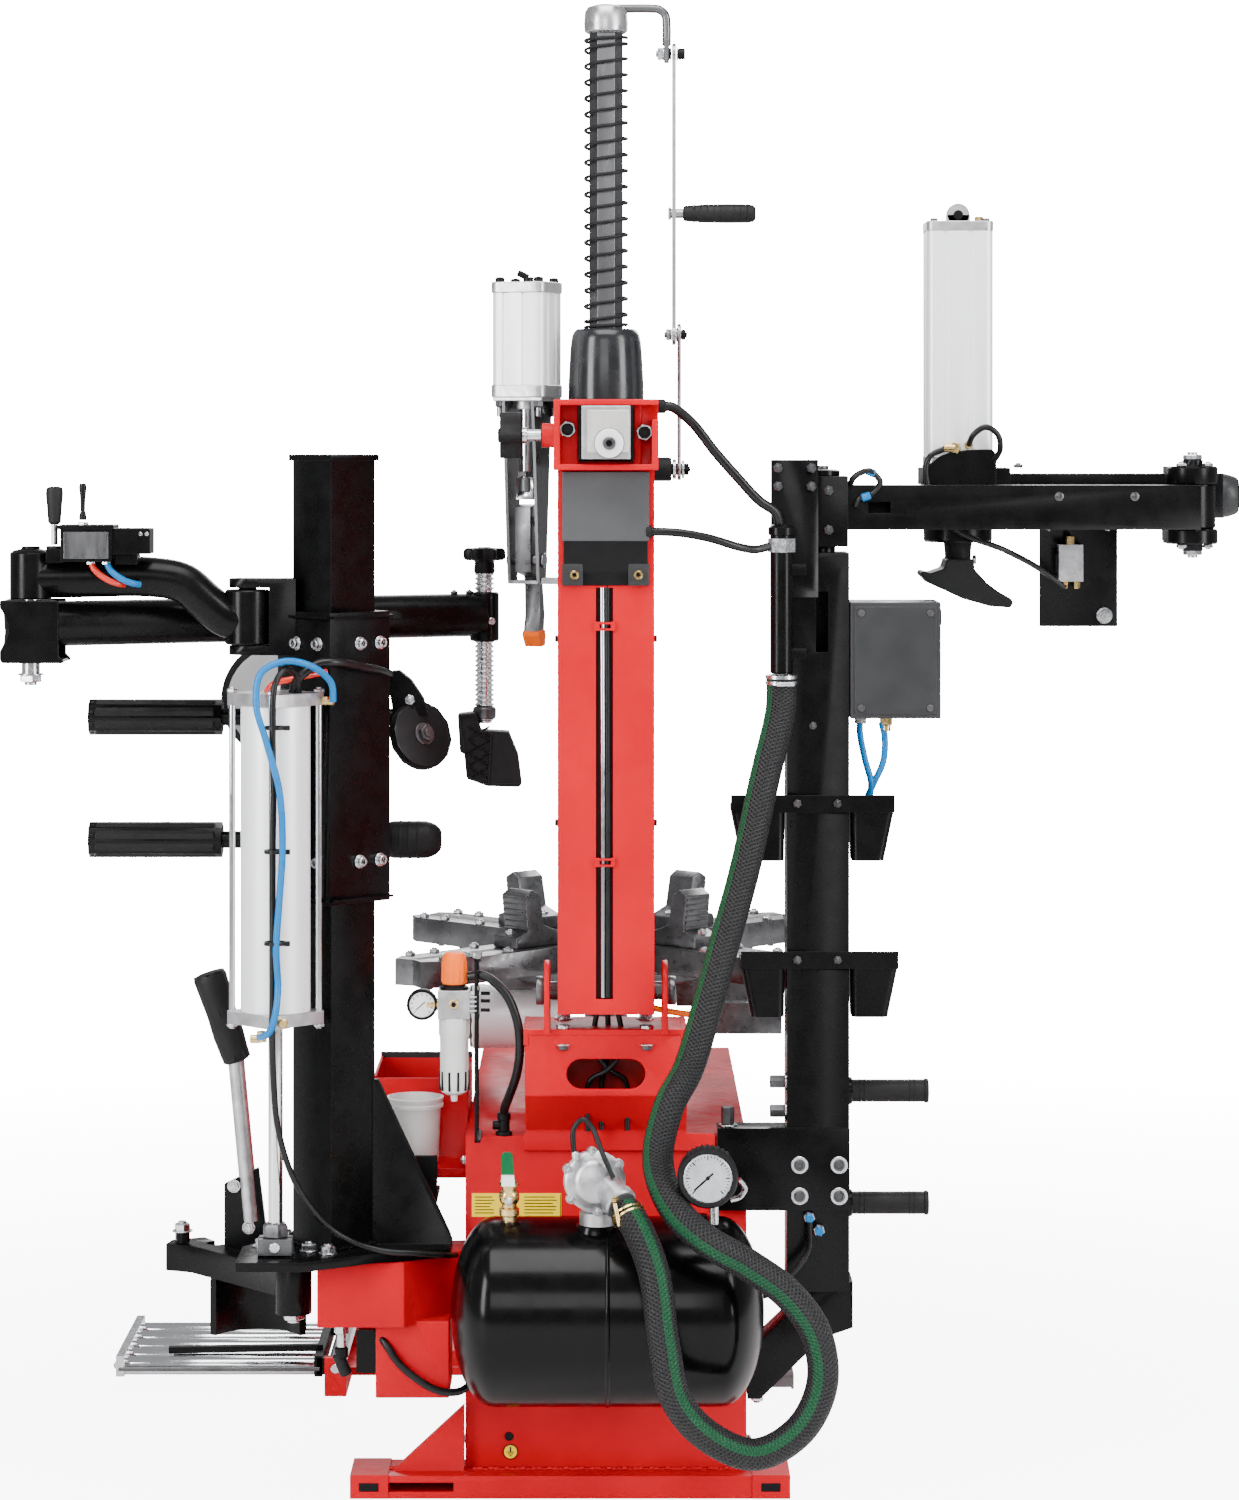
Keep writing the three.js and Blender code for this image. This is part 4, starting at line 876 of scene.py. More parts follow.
def tool_fixings():
    """The cylinder's tie bolts, their ends and a small plug."""
    fixings = Shape()
    for x in (-28, 28):
        for y in (-28, 28):
            fixings.rod((x, y, 1599), (x, y, 1606), 6.5, DARK, edge=1.5)
            fixings.rod((x, y, 1606), (x, y, 1606.6), 3, RUBBER, sides=6)
            fixings.bolt((x, y, 1440), -Z, 14, DARK_STEEL, 9)
            fixings.rod((x, y, 1431), (x, y, 1418), 4.5, BRIGHT_BAR, edge=0.8)
    fixings.rod((2, 0, 1600), (2, 0, 1607), 7, DARK, edge=1.2)
    fixings.rod((2, 0, 1606), (-11, -6, 1613), 4.5, DARK, edge=1.2)
    yawed(fixings).piece("tool_fixings", "shaft", "steel")


def tool_side_plates():
    """The two tapered plates that hold the tool's pivot."""
    cheeks = Shape()
    outline = [(-34, 1442), (34, 1442), (26, 1370), (20, 1290), (14, 1215), (12, 1193), (-12, 1193),
               (-14, 1215), (-20, 1290), (-26, 1370)]
    for x in (-23.5, 18.5):
        cheeks.prism(outline, (x, x + 5), DARK_STEEL, "x")
    cheeks.box((-22, 22), (-13, 13), (1192, 1197), DARK_STEEL)
    cheeks.box((18, 74), (-9, 9), (1192, 1201), DARK_STEEL)
    for x in (-26.5, 23.5):
        cheeks.rod((x, 0, TOOL_AT.z), (x + 3, 0, TOOL_AT.z), 10, BRIGHT_BAR, edge=0.8)
        for z in (1428, 1400):
            cheeks.rod((x, 0, z), (x + 3, 0, z), 6.5, STEEL, edge=0.8, sides=6)
    yawed(cheeks).piece("tool_side_plates", "shaft", "cast_steel", bevel=0.8)


def tool_details():
    rod = Shape()
    rod.rod((0, 0, 1318), (0, 0, 1436), 10.4, CHROME)
    rod.rod((0, 0, 1316), (0, 0, 1336), 12.5, DARK_STEEL, edge=1.5)
    rod.bolt((0, 0, 1345), -Z, 25, BRIGHT_BAR, 9)
    yawed(rod).piece("tool_rod_skin", "tool_rod", "chrome")
    lever = Shape()
    lever.rod((-14, 4, 1278), (14, 4, 1278), 7, DARK_STEEL, edge=1.2)
    lever.prism([(36, 1107), (39.5, 1118), (38, 1128), (27, 1129), (14.5, 1127), (12.5, 1121),
                 (24, 1105.5)], (-12.5, 12.5), ORANGE, "x")
    yawed(lever).piece("tool_tip", "tool_lever", "orange_plastic", bevel=1.5)


# ---- base, cabinet and saddle ----
CABINET = place("cabinet")
SADDLE = place("saddle_bracket")


def base_details():
    """Feet's end caps, the weld beads, the small screw and the round earth mark."""
    base = place("base_frame")
    feet = Shape()
    for x0, x1 in ((base.x0 + 72.4, base.x0 + 123), (CABINET.x1 + 6, CABINET.x1 + 56)):
        feet.box((x0, x1), (-429.5, -339), (0.2, 31.5), RED)
        feet.box((x0 + 12, x1 - 13), (-430.2, -429), (10, 21), DARK)
    feet.piece("foot_ends", "root", "red_paint", bevel=1)
    beads = Shape()
    rear = CABINET.y0
    for x0, x1, z in ((-250, 180, 30), (-283, -186, 31)):
        count = int((x1 - x0) / 7)
        for i in range(count):
            at = (x0 + (x1 - x0) * i / count, rear - 3.5, z + math.sin(i * 2.3))
            beads.turned([(2.2, -3.4), (3.0, 0), (2.2, 3.4)], RED, at, X, 8)
    beads.piece("weld_beads", "root", "red_paint")
    marks = Shape()
    marks.turned([(6, 0), (5.4, 1.4), (2.8, 1.4), (2.6, 0.4)], DARK, (-128, rear, 72), -Y, 24)
    marks.turned([(10, 0), (10, 0.9)], DARK, (-126, rear, 52), -Y)
    marks.turned([(8.6, 0.5), (8.6, 1.2)], YELLOW, (-126, rear, 52), -Y)
    marks.box((-127, -125), (rear - 1.5, rear - 0.6), (52, 58.5), DARK)
    for i, half in enumerate((5, 3.4, 1.8)):
        marks.box((-126 - half, -126 + half), (rear - 1.5, rear - 0.6), (51 - 2.4 * i, 52.2 - 2.4 * i),
                  DARK)
    marks.piece("earth_mark", "root", "red_paint")


def blank_label():
    """A yellow plate with rows of plain bars in place of text."""
    rear = CABINET.y0
    label = Shape()
    label.box((-177, -59), (rear - 0.8, rear + 0.2), (362, 393), YELLOW)
    label.box((-60.6, -59.6), (rear - 1.0, rear), (363, 392), DARK)
    for row in range(6):
        z = 387.5 - 4.2 * row
        for start, end, ragged in ((-173, -150, 1.7), (-108, -67, 2.3)):
            label.box((start, end + 3 * math.sin(row * ragged)), (rear - 1.0, rear), (z, z + 1.2), DARK)
    label.piece("blank_label", "root", "red_paint")


def saddle_details():
    """The lip's bolts, gusset slots, the hoses behind the slot and the pivot's washers."""
    lip = Shape()
    lip.box((SADDLE.x0 + 3, SADDLE.x1 - 41), (-449, -330), (610, 618), RED)
    for x in (SADDLE.x0 + 1, SADDLE.x1 - 46):
        lip.box((x, x + 7), (-449.5, -330), (597, 618.5), RED)
    lip.piece("saddle_lip", "root", "red_paint", bevel=1.5)
    bolts = Shape()
    for x in (-56, 53):
        bolts.rod((x, -441, 618), (x, -441, 623), 9.5, STEEL, sides=6, edge=0.8)
        bolts.rod((x, -446, 599), (x, -446, 597), 10, STEEL, sides=28, edge=0.4)
        bolts.rod((x, -446, 597), (x, -446, 591), 7.5, DARK_STEEL, sides=6, edge=0.8)
        bolts.bolt((x, -352, 618), Z, 19, STEEL, 8, washer=26)
    bolts.piece("saddle_bolts", "root", "steel")
    pivot = PIVOTS["tower_tilt"]
    ends = Shape()
    for side in (-1, 1):
        ends.turned([(18, 0), (18, 2.5), (13, 3), (13, 5), (12, 6), (0, 6)], DARK_STEEL,
                    (side * 81.5, pivot.y, pivot.z), X * side)
    ends.piece("tilt_pin_ends", "root", "steel")
    for i, (x0, x1) in enumerate(((-24, 30), (28, -22), (-6, 4))):
        y = -418 + 6 * i
        route = [(x0, y, 480), (x0 * 0.9, y, 545), ((x0 + x1) / 2, y - 3, 562), (x1 * 0.7, y, 590),
                 (x1 * 0.4, y, 655)]
        add_cord(f"slot_hose_{i + 1}", route, 3.6, SLEEVE, "root")
    back = Shape()
    # the saddle's red inside, seen through the slot, as a plate of darker red: painted shade
    back.box((-96, 96), (-394.5, -392), (486, 600), RED_PAINTED_SHADE)
    back.piece("slot_back_painted_shade", "root", "red_paint")


def tray_details():
    tray, bucket = place("tool_tray"), place("lube_bucket")
    lip = Shape()
    lip.box((tray.x0 - 1, tray.x1), (tray.y1 - 2.5, tray.y1 + 1), (tray.z1 - 1, tray.z1 + 8), GREY)
    lip.box((tray.x0 - 1, tray.x0 + 3), (tray.y1 - 182, tray.y1), (tray.z1 - 1, tray.z1 + 3), RED)
    lip.piece("tray_lip", "root", "grey_cover", bevel=1)
    pail = Shape()
    at = (bucket.cx, bucket.cy, 0)
    low, high = bucket.z0, bucket.z1
    profile = [(29, low), (31.3, low + 1.5), (34.4, high - 14), (38.2, high - 13), (38.2, high - 9),
               (36.2, high - 8), (38.4, high - 3), (38.4, high), (34.6, high), (34.2, high - 4),
               (29.4, low + 3), (0, low + 3)]
    pail.turned(profile, WHITE, at, sides=64)
    pail.piece("paste_bucket", "root", "white_plastic", ["lube_bucket"])
    holder = Shape()
    holder.box((-294, -224), (-358, -352), (374, 437), DARK)
    holder.box((-294, -224), (-352, -258), (374, 380), DARK)
    holder.piece("bucket_holder", "root", "black_paint", bevel=1.5)


def outrigger_details():
    beam = place("outrigger_beam")
    bits = Shape()
    bits.box((-326, -298), (beam.y0 + 32, beam.y0 + 34), (169, 225), BLACK)
    bits.rod((-345, -452, 238), (-345, -452, 205), 6, STEEL, sides=12)
    bits.bolt((-345, -452, 236), -Z, 20, STEEL, 12, washer=24)
    bits.rod((-350, -452, 196), (-338, -452, 168), 8, RUBBER, edge=2)
    bits.rod((-345, -452, 205), (-345, -452, 190), 9, DARK, edge=2)
    bits.piece("outrigger_stop_bolt", "root", "steel")
    route = [(-300, -447, 226), (-286, -464, 210), (-268, -470, 186), (-240, -474, 164), (-215, -474, 152),
             (-192, -468, 150), (-176, -452, 156), (-168, -436, 160)]
    add_cord("outrigger_cable", route, 5, SLEEVE, "root")


def front_and_sides():
    """Vents and fasteners on the sides and front, which the pedals stand in front of."""
    vents = Shape()
    for side in (-1, 1):
        x = side * CABINET.x1
        for row in range(6):
            z = 250 + 14 * row
            vents.box((min(x, x + side * 1.6), max(x, x + side * 1.6)), (120, 220), (z, z + 5), DARK)
        for y in (-350, 350):
            for z in (430, 60):
                vents.bolt((x, y, z), X * side, 12, STEEL, 4, washer=14)
    for x in (-150, 150):
        for z in (430, 120):
            vents.bolt((x, CABINET.y1, z), Y, 12, STEEL, 4, washer=14)
    vents.piece("cabinet_vents", "root", "grey_cover")
    for node in ("front_pedal_1", "front_pedal_2"):
        box = place(node)
        pads = Shape()
        pads.box((box.cx - 38.5, box.cx + 38.5), (447, box.y1), (box.z1 - 14, box.z1 - 1.5), PEDAL_GREY)
        for i in range(8):
            y = 452 + 8.4 * i
            pads.box((box.cx - 36, box.cx + 36), (y, y + 4), (box.z1 - 3, box.z1), PEDAL_GREY)
        pads.piece(node + "_pad", node, "grey_pedal", bevel=0.8)
    box = place("side_pedal")
    pads = Shape()
    for i in range(9):
        y = -42 + 9.6 * i
        pads.box((205, box.x1), (y, y + 5), (box.z1 - 3, box.z1 + 3), PEDAL_GREY)
        pads.box((box.x1 - 2, box.x1 + 2), (y, y + 5), (box.z0 + 1, box.z1 + 3), PEDAL_GREY)
    pads.piece("side_pedal_pad", "side_pedal", "grey_pedal", bevel=0.8)


# ---- air tank and its fittings ----
TANK_AXIS = Vector((2, -528, 268))


def air_tank():
    """Vessel with dished ends and a seam, on two saddles."""
    radius, half, dome = 120, 201, 56
    profile = [(0, -half)]
    for i in range(1, 13):
        angle = math.pi / 2 * i / 12
        profile.append((radius * math.sin(angle), -half + dome * (1 - math.cos(angle))))
    profile += [(radius, -90), (radius, -3), (radius + 1.4, -1.5), (radius + 1.8, 0), (radius + 1.4, 1.5),
                (radius, 3), (radius, 90)]
    profile += [(r, -h) for r, h in reversed(profile[:13])]
    tank = Shape()
    tank.turned(profile, TANK_BLACK, TANK_AXIS, X, 96)
    for x in (-110, 110):
        tank.box((x - 15, x + 15), (-450, -389.5), (TANK_AXIS.z - 60, TANK_AXIS.z + 60), TANK_BLACK)
    tank.turned([(19, 112), (17, 122), (15, 124)], TANK_BLACK, (-124, -540, TANK_AXIS.z - 6), Z, 32)
    tank.turned([(27, 112), (25, 122), (23, 124)], TANK_BLACK, (-14, -556, TANK_AXIS.z - 6), Z, 32)
    tank.turned([(10, 118), (10, 124), (7, 125)], TANK_BLACK, (120, -528, TANK_AXIS.z), Z, 24)
    tank.piece("air_tank_shell", "root", "black_paint", ["air_tank"])


GAUGE_AT = Vector((128, -624, 460))


def gauge_stem():
    """The pipe that the dial gauge stands on."""
    stem = Shape()
    stem.rod((138, -560, 385), (138, -560, 452), 6, STEEL, edge=1)
    stem.tube([(138, -560, 448), (138, -562, 458), (138, -575, 461), (134, -600, 461), (130, -628, 461)], 5,
              STEEL, 12)
    stem.tube([(168, -612, 452), (176, -606, 440), (170, -600, 428), (158, -600, 424)], 3.4, STEEL, 10)
    stem.piece("gauge_stem", "root", "steel")


def gauge_boot():
    """A rubber boot round the gauge, with a ribbed rim."""
    at = GAUGE_AT
    boot = Shape()
    boot.turned([(25, -2), (34, 0), (38, 4), (38.4, 20), (36, 25), (31.5, 25.4), (31, 20), (0, 20)], RUBBER,
                at, -Y, 72)
    for i in range(9):
        tooth = at + rear_heading(50 + 10 * i) * 37.5 - Y * 14
        boot.rod(tooth + Y * 9, tooth - Y * 9, 2.6, RUBBER, sides=8)
    boot.piece("gauge_boot", "root", "rubber")


def gauge_dial():
    """A dial with plain tick marks and a pointer."""
    at = GAUGE_AT
    dial = Shape()
    dial.turned([(30.8, 20), (30.8, 21.2), (0, 21.2)], PAPER, at, -Y, 64)
    for i in range(31):
        long_tick = i % 5 == 0
        outward = rear_heading(225 - 9 * i)
        inner = at + outward * (22.5 if long_tick else 25) - Y * 21.5
        dial.beam(inner, at + outward * 28 - Y * 21.5, 1.5 if long_tick else 0.9, 1.2, DARK, Y)
    along = rear_heading(222)
    dial.beam(at - along * 9 - Y * 22.6, at + along * 23 - Y * 22.6, 2.2, 1, DARK, Y)
    dial.rod(at - Y * 21, at - Y * 24, 2.6, DARK, edge=0.6)
    dial.turned([(31.2, 20.5), (31.6, 24), (30.2, 24.8), (29.6, 22)], STEEL, at, -Y, 64)
    dial.piece("gauge_dial", "root", "white_plastic")


def ball_valve():
    x = -124
    body = Shape()
    body.turned([(10, 384), (10, 392), (13, 394), (13, 402), (9.6, 404), (9.6, 408), (12.4, 411),
                 (13.4, 417), (12.4, 423), (9.6, 426), (9.6, 430), (12.6, 431), (12.6, 437), (9, 438)],
                BRASS, (x, -540, 0), Z, 24)
    body.rod((x, -540, 417), (x, -566, 417), 6.5, BRASS, edge=1)
    body.rod((x, -540, 434), (x, -540, 440), 8, BRASS, edge=1, sides=8)
    body.piece("ball_valve_body", "root", "aluminium")
    lever = Shape()
    lever.box((x - 4.5, x + 4.5), (-570, -566.5), (411, 438), BRASS)
    lever.prism([(x - 9, 436), (x + 8, 436), (x + 6.5, 452), (x - 9.5, 452)], (-572, -566), WHITE, "y")
    lever.prism([(x - 9.8, 451), (x + 6.8, 451), (x + 5, 476), (x + 1, 479), (x - 6, 479), (x - 10, 475)],
                (-573.5, -565), GREEN, "y")
    lever.bolt((x, -570, 417), -Y, 11, STEEL, 5)
    lever.piece("ball_valve_lever", "ball_valve_handle", "green_plastic", ["ball_valve_handle"], bevel=1.6)


def blast_valve():
    """Cast diaphragm valve with a bolted round cover, tilted towards the hose."""
    middle = Vector((-14, -580, 444))
    axis = Vector((0.1, -1, 0.12)).normalized()
    valve = Shape()
    valve.turned([(24, 386), (24, 402), (20, 404), (20, 418), (24, 424), (30, 440)], CAST_ALUMINIUM,
                 (-10, -560, 0), Z, 40)
    profile = [(30, -34), (37, -30), (38.5, -24), (38.5, -14), (35, -12), (35, -8), (38.8, -6), (38.8, 4),
               (34, 7), (28, 15), (26, 17), (20, 20), (0, 21)]
    valve.turned(profile, CAST_ALUMINIUM, middle, axis, 56)
    side = axis.cross(Z).normalized()
    rise = side.cross(axis).normalized()
    for i in range(6):
        angle = math.radians(60 * i + 25)
        at = middle + (side * math.cos(angle) + rise * math.sin(angle)) * 37
        valve.rod(at - axis * 14, at + axis * 5, 7, CAST_ALUMINIUM, edge=1.2, sides=16)
        valve.bolt(at + axis * 5, axis, 9, STEEL, 4)
    valve.turned([(19, 0), (19.5, 22), (22, 24), (22, 34), (19.2, 36)], CAST_ALUMINIUM, (2, -588, 438),
                 (0.42, -0.62, -0.42), 32)
    valve.rod((-38, -592, 474), (-40, -592, 484), 5, STEEL, edge=1, sides=8)
    valve.piece("diaphragm_valve", "root", "aluminium", ["blast_valve"], bevel=0.6)
    clamp = Shape()
    start, heading = Vector((27, -622, 411)), Vector((0.405, -0.6, -0.69)).normalized()
    for shift in (0, 6):
        clamp.turned([(21.2, 0), (22.2, 0.4), (22.2, 2.6), (21.2, 3)], BRASS, start + heading * shift,
                     heading, 40)
    clamp.rod(start + Vector((-16, -14, 16)), start + Vector((-10, -22, -12)), 3, BRASS, edge=0.8)
    clamp.bolt(start + Vector((-15, -13, 17)), (-0.2, 0.25, 0.9), 10, BRASS, 5)
    clamp.piece("hose_clamp_low", "root", "steel")
    add_cord("valve_signal_line", [(-40, -592, 480), (-42, -591, 496), (-41, -589, 512), (-30, -587, 524),
                                   (-18, -590, 515), (-9, -597, 494), (0, -603, 473), (9, -603, 453)], 3.4,
             SLEEVE, "root")


FILTER_X, FILTER_Y = -199, -420


def filter_body():
    """The filter regulator's ribbed body, its ports and the link to its bracket."""
    x, y = FILTER_X, FILTER_Y
    unit = Shape()
    unit.box((x - 21, x + 21), (y - 20, y + 20), (630, 667), CAST_ALUMINIUM)
    unit.turned([(19, 664), (19, 670), (15, 672), (15, 677)], DARK, (x, y, 0), Z, 32)
    unit.rod((x - 20, y, 647), (x - 36, y, 647), 8, BRASS, sides=8)
    unit.rod((x, y - 20, 650), (x, y - 27, 650), 6.5, BRASS, edge=1)
    unit.rod((x, y - 26, 650), (x, y - 27.6, 650), 3.5, DARK, sides=8)
    unit.box((x + 20, -164), (y - 14, y + 14), (636, 662), CAST_ALUMINIUM)
    for z in (640, 646, 652, 658):
        unit.box((x + 21, x + 30), (y - 22, y - 18), (z, z + 2), STEEL)
    unit.piece("filter_body", "root", "aluminium", ["filter_unit"], bevel=1.2)


def filter_bowl():
    """A clear bowl behind a slotted guard."""
    x, y = FILTER_X, FILTER_Y
    bowl = Shape()
    bowl.turned([(19.8, 631), (20.5, 626), (20.5, 608), (19, 604), (18.6, 545), (17, 533), (11, 529),
                 (5, 528), (4, 520), (0, 519)], BOWL, (x, y, 0), Z, 40)
    for i in range(10):
        at = Vector((x, y, 0)) + floor_heading(36 * i) * 18.6
        bowl.rod(at + Z * 535, at + Z * 560, 1.6, DARK, sides=8)
    bowl.piece("filter_bowl", "root", "white_plastic")


def filter_gauge():
    """The regulator's small round gauge."""
    x, y = FILTER_X, FILTER_Y
    dial = Shape()
    dial.turned([(19.5, -7), (20.4, -4), (20.4, 6), (19, 8), (17, 8), (16.6, 6), (0, 6)], DARK,
                (x - 42, y, 647), -Y, 40)
    dial.turned([(16.4, 5.4), (16.4, 6.6), (0, 6.6)], PAPER, (x - 42, y, 647), -Y, 40)
    for i in range(11):
        outward = rear_heading(225 - 27 * i)
        at = Vector((x - 42, y - 6.8, 647))
        dial.beam(at + outward * 12, at + outward * 15, 0.9, 0.5, DARK, Y)
    dial.beam((x - 50, y - 7.2, 640), (x - 38, y - 7.2, 651), 1.2, 0.5, DARK, Y)
    dial.piece("filter_gauge", "root", "white_plastic")


def filter_bracket():
    """A frame that stands on the cabinet, with its screws."""
    bracket = Shape()
    low, high = CABINET.z1 + 0.5, 709
    for z0, z1 in ((low, low + 4), (high - 4, high)):
        bracket.box((-172, -164), (-440, -360), (z0, z1), DARK)
    for y0 in (-440, -363):
        bracket.box((-172, -168.5), (y0, y0 + 3), (low, high), DARK)
    bracket.box((-170, -166), (-440, -400), (628, 668), DARK)
    for z in (640, 652, 662):
        bracket.rod((-164, -425, z), (-152, -425, z), 2.6, DARK, sides=8)
    bracket.piece("filter_bracket", "root", "black_paint", bevel=0.8)


def filter_hose_tee():
    """The fitting on the cabinet that the filter's hose goes into."""
    tee = Shape()
    tee.turned([(11, 468), (11, 473), (7.5, 474), (7.5, 488), (9, 489), (9, 497), (6.5, 498)], DARK,
               (-135, -377, 0), Z, 20)
    tee.rod((-135, -377, 481), (-150, -377, 481), 6, DARK, edge=1)
    tee.piece("filter_hose_tee", "root", "rubber")


def regulator_knob():
    """The ribbed knob on top of the regulator."""
    x, y = FILTER_X, FILTER_Y
    knob = Shape()
    knob.turned([(14, 673), (16.4, 675), (16.8, 690), (15.6, 708), (13, 714), (8, 715.4), (0, 715.4)],
                ORANGE, (x, y, 0), Z, 40)
    for i in range(16):
        at = Vector((x, y, 0)) + floor_heading(22.5 * i) * 16
        knob.rod(at + Z * 677, at + Z * 703, 1.3, ORANGE, end_radius=0.9, sides=8)
    knob.piece("regulator_knob", "filter_knob", "orange_plastic", ["filter_knob"])


# ---- left post, its carriage and lift ----
POST_AT = Vector((-357, -420, 0))
LIFT_AT = Vector((-427, -500, 0))
REAR_LEFT = Vector((-1, -1, 0)).normalized()
REAR_RIGHT = Vector((1, -1, 0)).normalized()


def diamond_plate(shape, at, half, low, high, material):
    """A square plate with one corner to the rear, its corners rounded."""
    corner = 6
    outline = []
    for i in range(4):
        angle = math.radians(90 * i)
        tip = half * math.sqrt(2) - corner * 0.42
        for turn in (-40, -15, 15, 40):
            a = angle + math.radians(turn)
            centre = Vector((math.cos(angle), math.sin(angle))) * (tip - corner)
            outline.append((at.x + centre.x + corner * math.cos(a), at.y + centre.y + corner * math.sin(a)))
    return shape.prism(outline, (low, high), material)


def post_details():
    """Bolts on the carriage's rear faces, welds of the post's foot and the bolts in its base plate."""
    moving = Shape()
    for face, along, shifts, heights in (
        (REAR_LEFT, REAR_RIGHT, (-14, 29), (1122, 838)),
        (REAR_RIGHT, -REAR_LEFT, (-1, 34), (1122, 838)),
    ):
        for shift in shifts:
            for z in heights:
                at = POST_AT + face * 52 + along * shift + Z * z
                moving.rod(at, at + face * 2, 9, STEEL, sides=24, edge=0.5)
                moving.socket_screw(at + face * 2, face, 13, STEEL, RUBBER)
        for z in (1157, 790):
            middle = POST_AT + face * 53 + Z * z
            moving.beam(middle - along * 52, middle + along * 52, 13, 3, BLACK, Z)
    moving.piece("carriage_bolts", "carriage", "steel")
    fixed = Shape()
    for x, y in ((-386, -470), (-360, -486)):
        fixed.bolt((x, y, 333), Z, 20, STEEL, 8, washer=24)
    for x, y, height in ((-225, -412, 12), (-450, -440, 8), (-420, -388, 8)):
        fixed.bolt((x, y, 333), Z, 18, STEEL, height, washer=24)
    fixed.piece("post_bolts", "root", "steel")
    bead = Shape()
    for face, along in ((REAR_LEFT, REAR_RIGHT), (REAR_RIGHT, -REAR_LEFT)):
        for i in range(13):
            at = POST_AT + face * 39.5 + along * (5.8 * (i - 6)) + Z * (334.5 + 0.6 * math.sin(i * 2.4))
            bead.rod(at - along * 3.6, at + along * 3.6, 3.1, BLACK, sides=8, edge=1.5)
    bead.piece("post_weld", "root", "black_paint")


def lift_barrel():
    """Round aluminium barrel between two plates, with four tie rods, fittings and cable ties."""
    barrel = Shape()
    low, high = 634, 1061
    for z0, z1 in ((low, low + 16), (high - 16, high)):
        diamond_plate(barrel, LIFT_AT, 46, z0, z1, CAST_ALUMINIUM)
    barrel.turned([(43, low + 15), (45, low + 17), (45, high - 17), (43, high - 15)], ALUMINIUM, LIFT_AT,
                  sides=96)
    barrel.turned([(20, low - 6), (20, low + 2)], CAST_ALUMINIUM, LIFT_AT, sides=40)
    for dx, dy in ((56, 0), (0, 56), (-56, 0), (0, -56)):
        at = LIFT_AT + Vector((dx, dy, 0))
        barrel.rod(at + Z * (low - 4), at + Z * (high + 5), 4.2, CHROME, sides=16, edge=0.8)
        for z, way in ((high, Z), (low, -Z)):
            barrel.bolt(at + Z * z, way, 15, STEEL, 5)
    barrel.piece("lift_cylinder", "carriage", "aluminium", ["lift_barrel"], bevel=0.8)
    ports = Shape()
    ports.rod((-412, -552, 642), (-412, -568, 642), 6, BRASS, edge=1)
    ports.rod((-441, -545, 630), (-441, -545, 616), 7, BRASS, sides=6, edge=1)
    ports.rod((-441, -545, 620), (-456, -545, 620), 5.5, BRASS, edge=1)
    ports.rod((-352, -506, 1050), (-366, -500, 1050), 6, BRASS, sides=6, edge=1)
    ports.piece("lift_fittings", "carriage", "steel")
    ties = Shape()
    for z in (1020, 862, 745):
        middle = (-422, -565, z)
        ties.turned([(13, -2.2), (14.6, -2.2), (14.6, 2.2), (13, 2.2)], SLEEVE, middle, sides=32,
                    closed=True)
        ties.box((-410, -403), (-572, -564), (z - 3, z + 3), SLEEVE)
    ties.piece("cable_ties", "carriage", "cable")
    add_cord("lift_red_line", [(-438, -508, 1062), (-428, -514, 1073), (-404, -516, 1079),
                               (-380, -506, 1084), (-362, -492, 1087)], 4.2, RED_LINE, "carriage",
             slot="red_paint")
    add_cord("carriage_line", [(-404, -508, 1062), (-396, -520, 1080), (-372, -512, 1098),
                               (-350, -504, 1100), (-322, -474, 1094), (-296, -436, 1086),
                               (-285, -414, 1080)], 6, SLEEVE, "carriage")


def lift_piston_rod():
    rod = Shape()
    rod.turned([(9, 350), (9.4, 352), (9.4, 780), (9, 782)], CHROME, LIFT_AT, sides=40)
    rod.turned([(36, 783), (37, 784), (37, 790), (36, 791)], STEEL, LIFT_AT, sides=48)
    rod.turned([(15, 357), (17, 359), (17, 372), (14, 376)], DARK_STEEL, LIFT_AT, sides=6)
    for y0, y1 in ((-516, -504), (-496, -484)):
        rod.box((-449, -405), (y0, y1), (333.6, 357), DARK_STEEL)
    rod.rod((-427, -519, 346), (-427, -481, 346), 7, STEEL, edge=1)
    rod.box((-449, -405), (-516, -484), (333.6, 337), DARK_STEEL)
    rod.piece("lift_rod_and_clevis", "root", "chrome", ["lift_piston_rod"], bevel=0.8)


# ---- left arms ----
ELBOW = PIVOTS["elbow_swing"]
SHOULDER = PIVOTS["shoulder_swing"]
PRESSER_AT = Vector((-166, -200, 0))
JOYSTICK_AT = Vector((-714, -490, 0))
TOGGLE_AT = Vector((-677, -492, 0))


def assist_arm_inner():
    """A cranked tube between the shoulder and the elbow."""
    arm = Shape()
    arm.turned([(27, 1119.4), (29, 1121), (29, 1189), (27, 1191)], BLACK, (SHOULDER.x, SHOULDER.y, 0),
               sides=56)
    route = [(SHOULDER.x, SHOULDER.y, 1150), (-496, -429, 1154), (-524, -436, 1176), (-552, -441, 1200),
             (-590, -447, 1208), (-700, -466, 1208), (ELBOW.x, ELBOW.y, 1208)]
    arm.tube(route, 26, BLACK, 48, 7)
    arm.turned([(26, 1181), (27, 1182), (27, 1240), (22, 1244), (12, 1246), (12, 1249)], BLACK,
               (ELBOW.x, ELBOW.y, 0), sides=56)
    arm.rod((ELBOW.x, ELBOW.y, 1083), (ELBOW.x, ELBOW.y, 1184), 11.8, STEEL)
    arm.piece("assist_inner_tube", "assist_arm_inner", "black_paint", ["assist_arm_inner"], bevel=1)


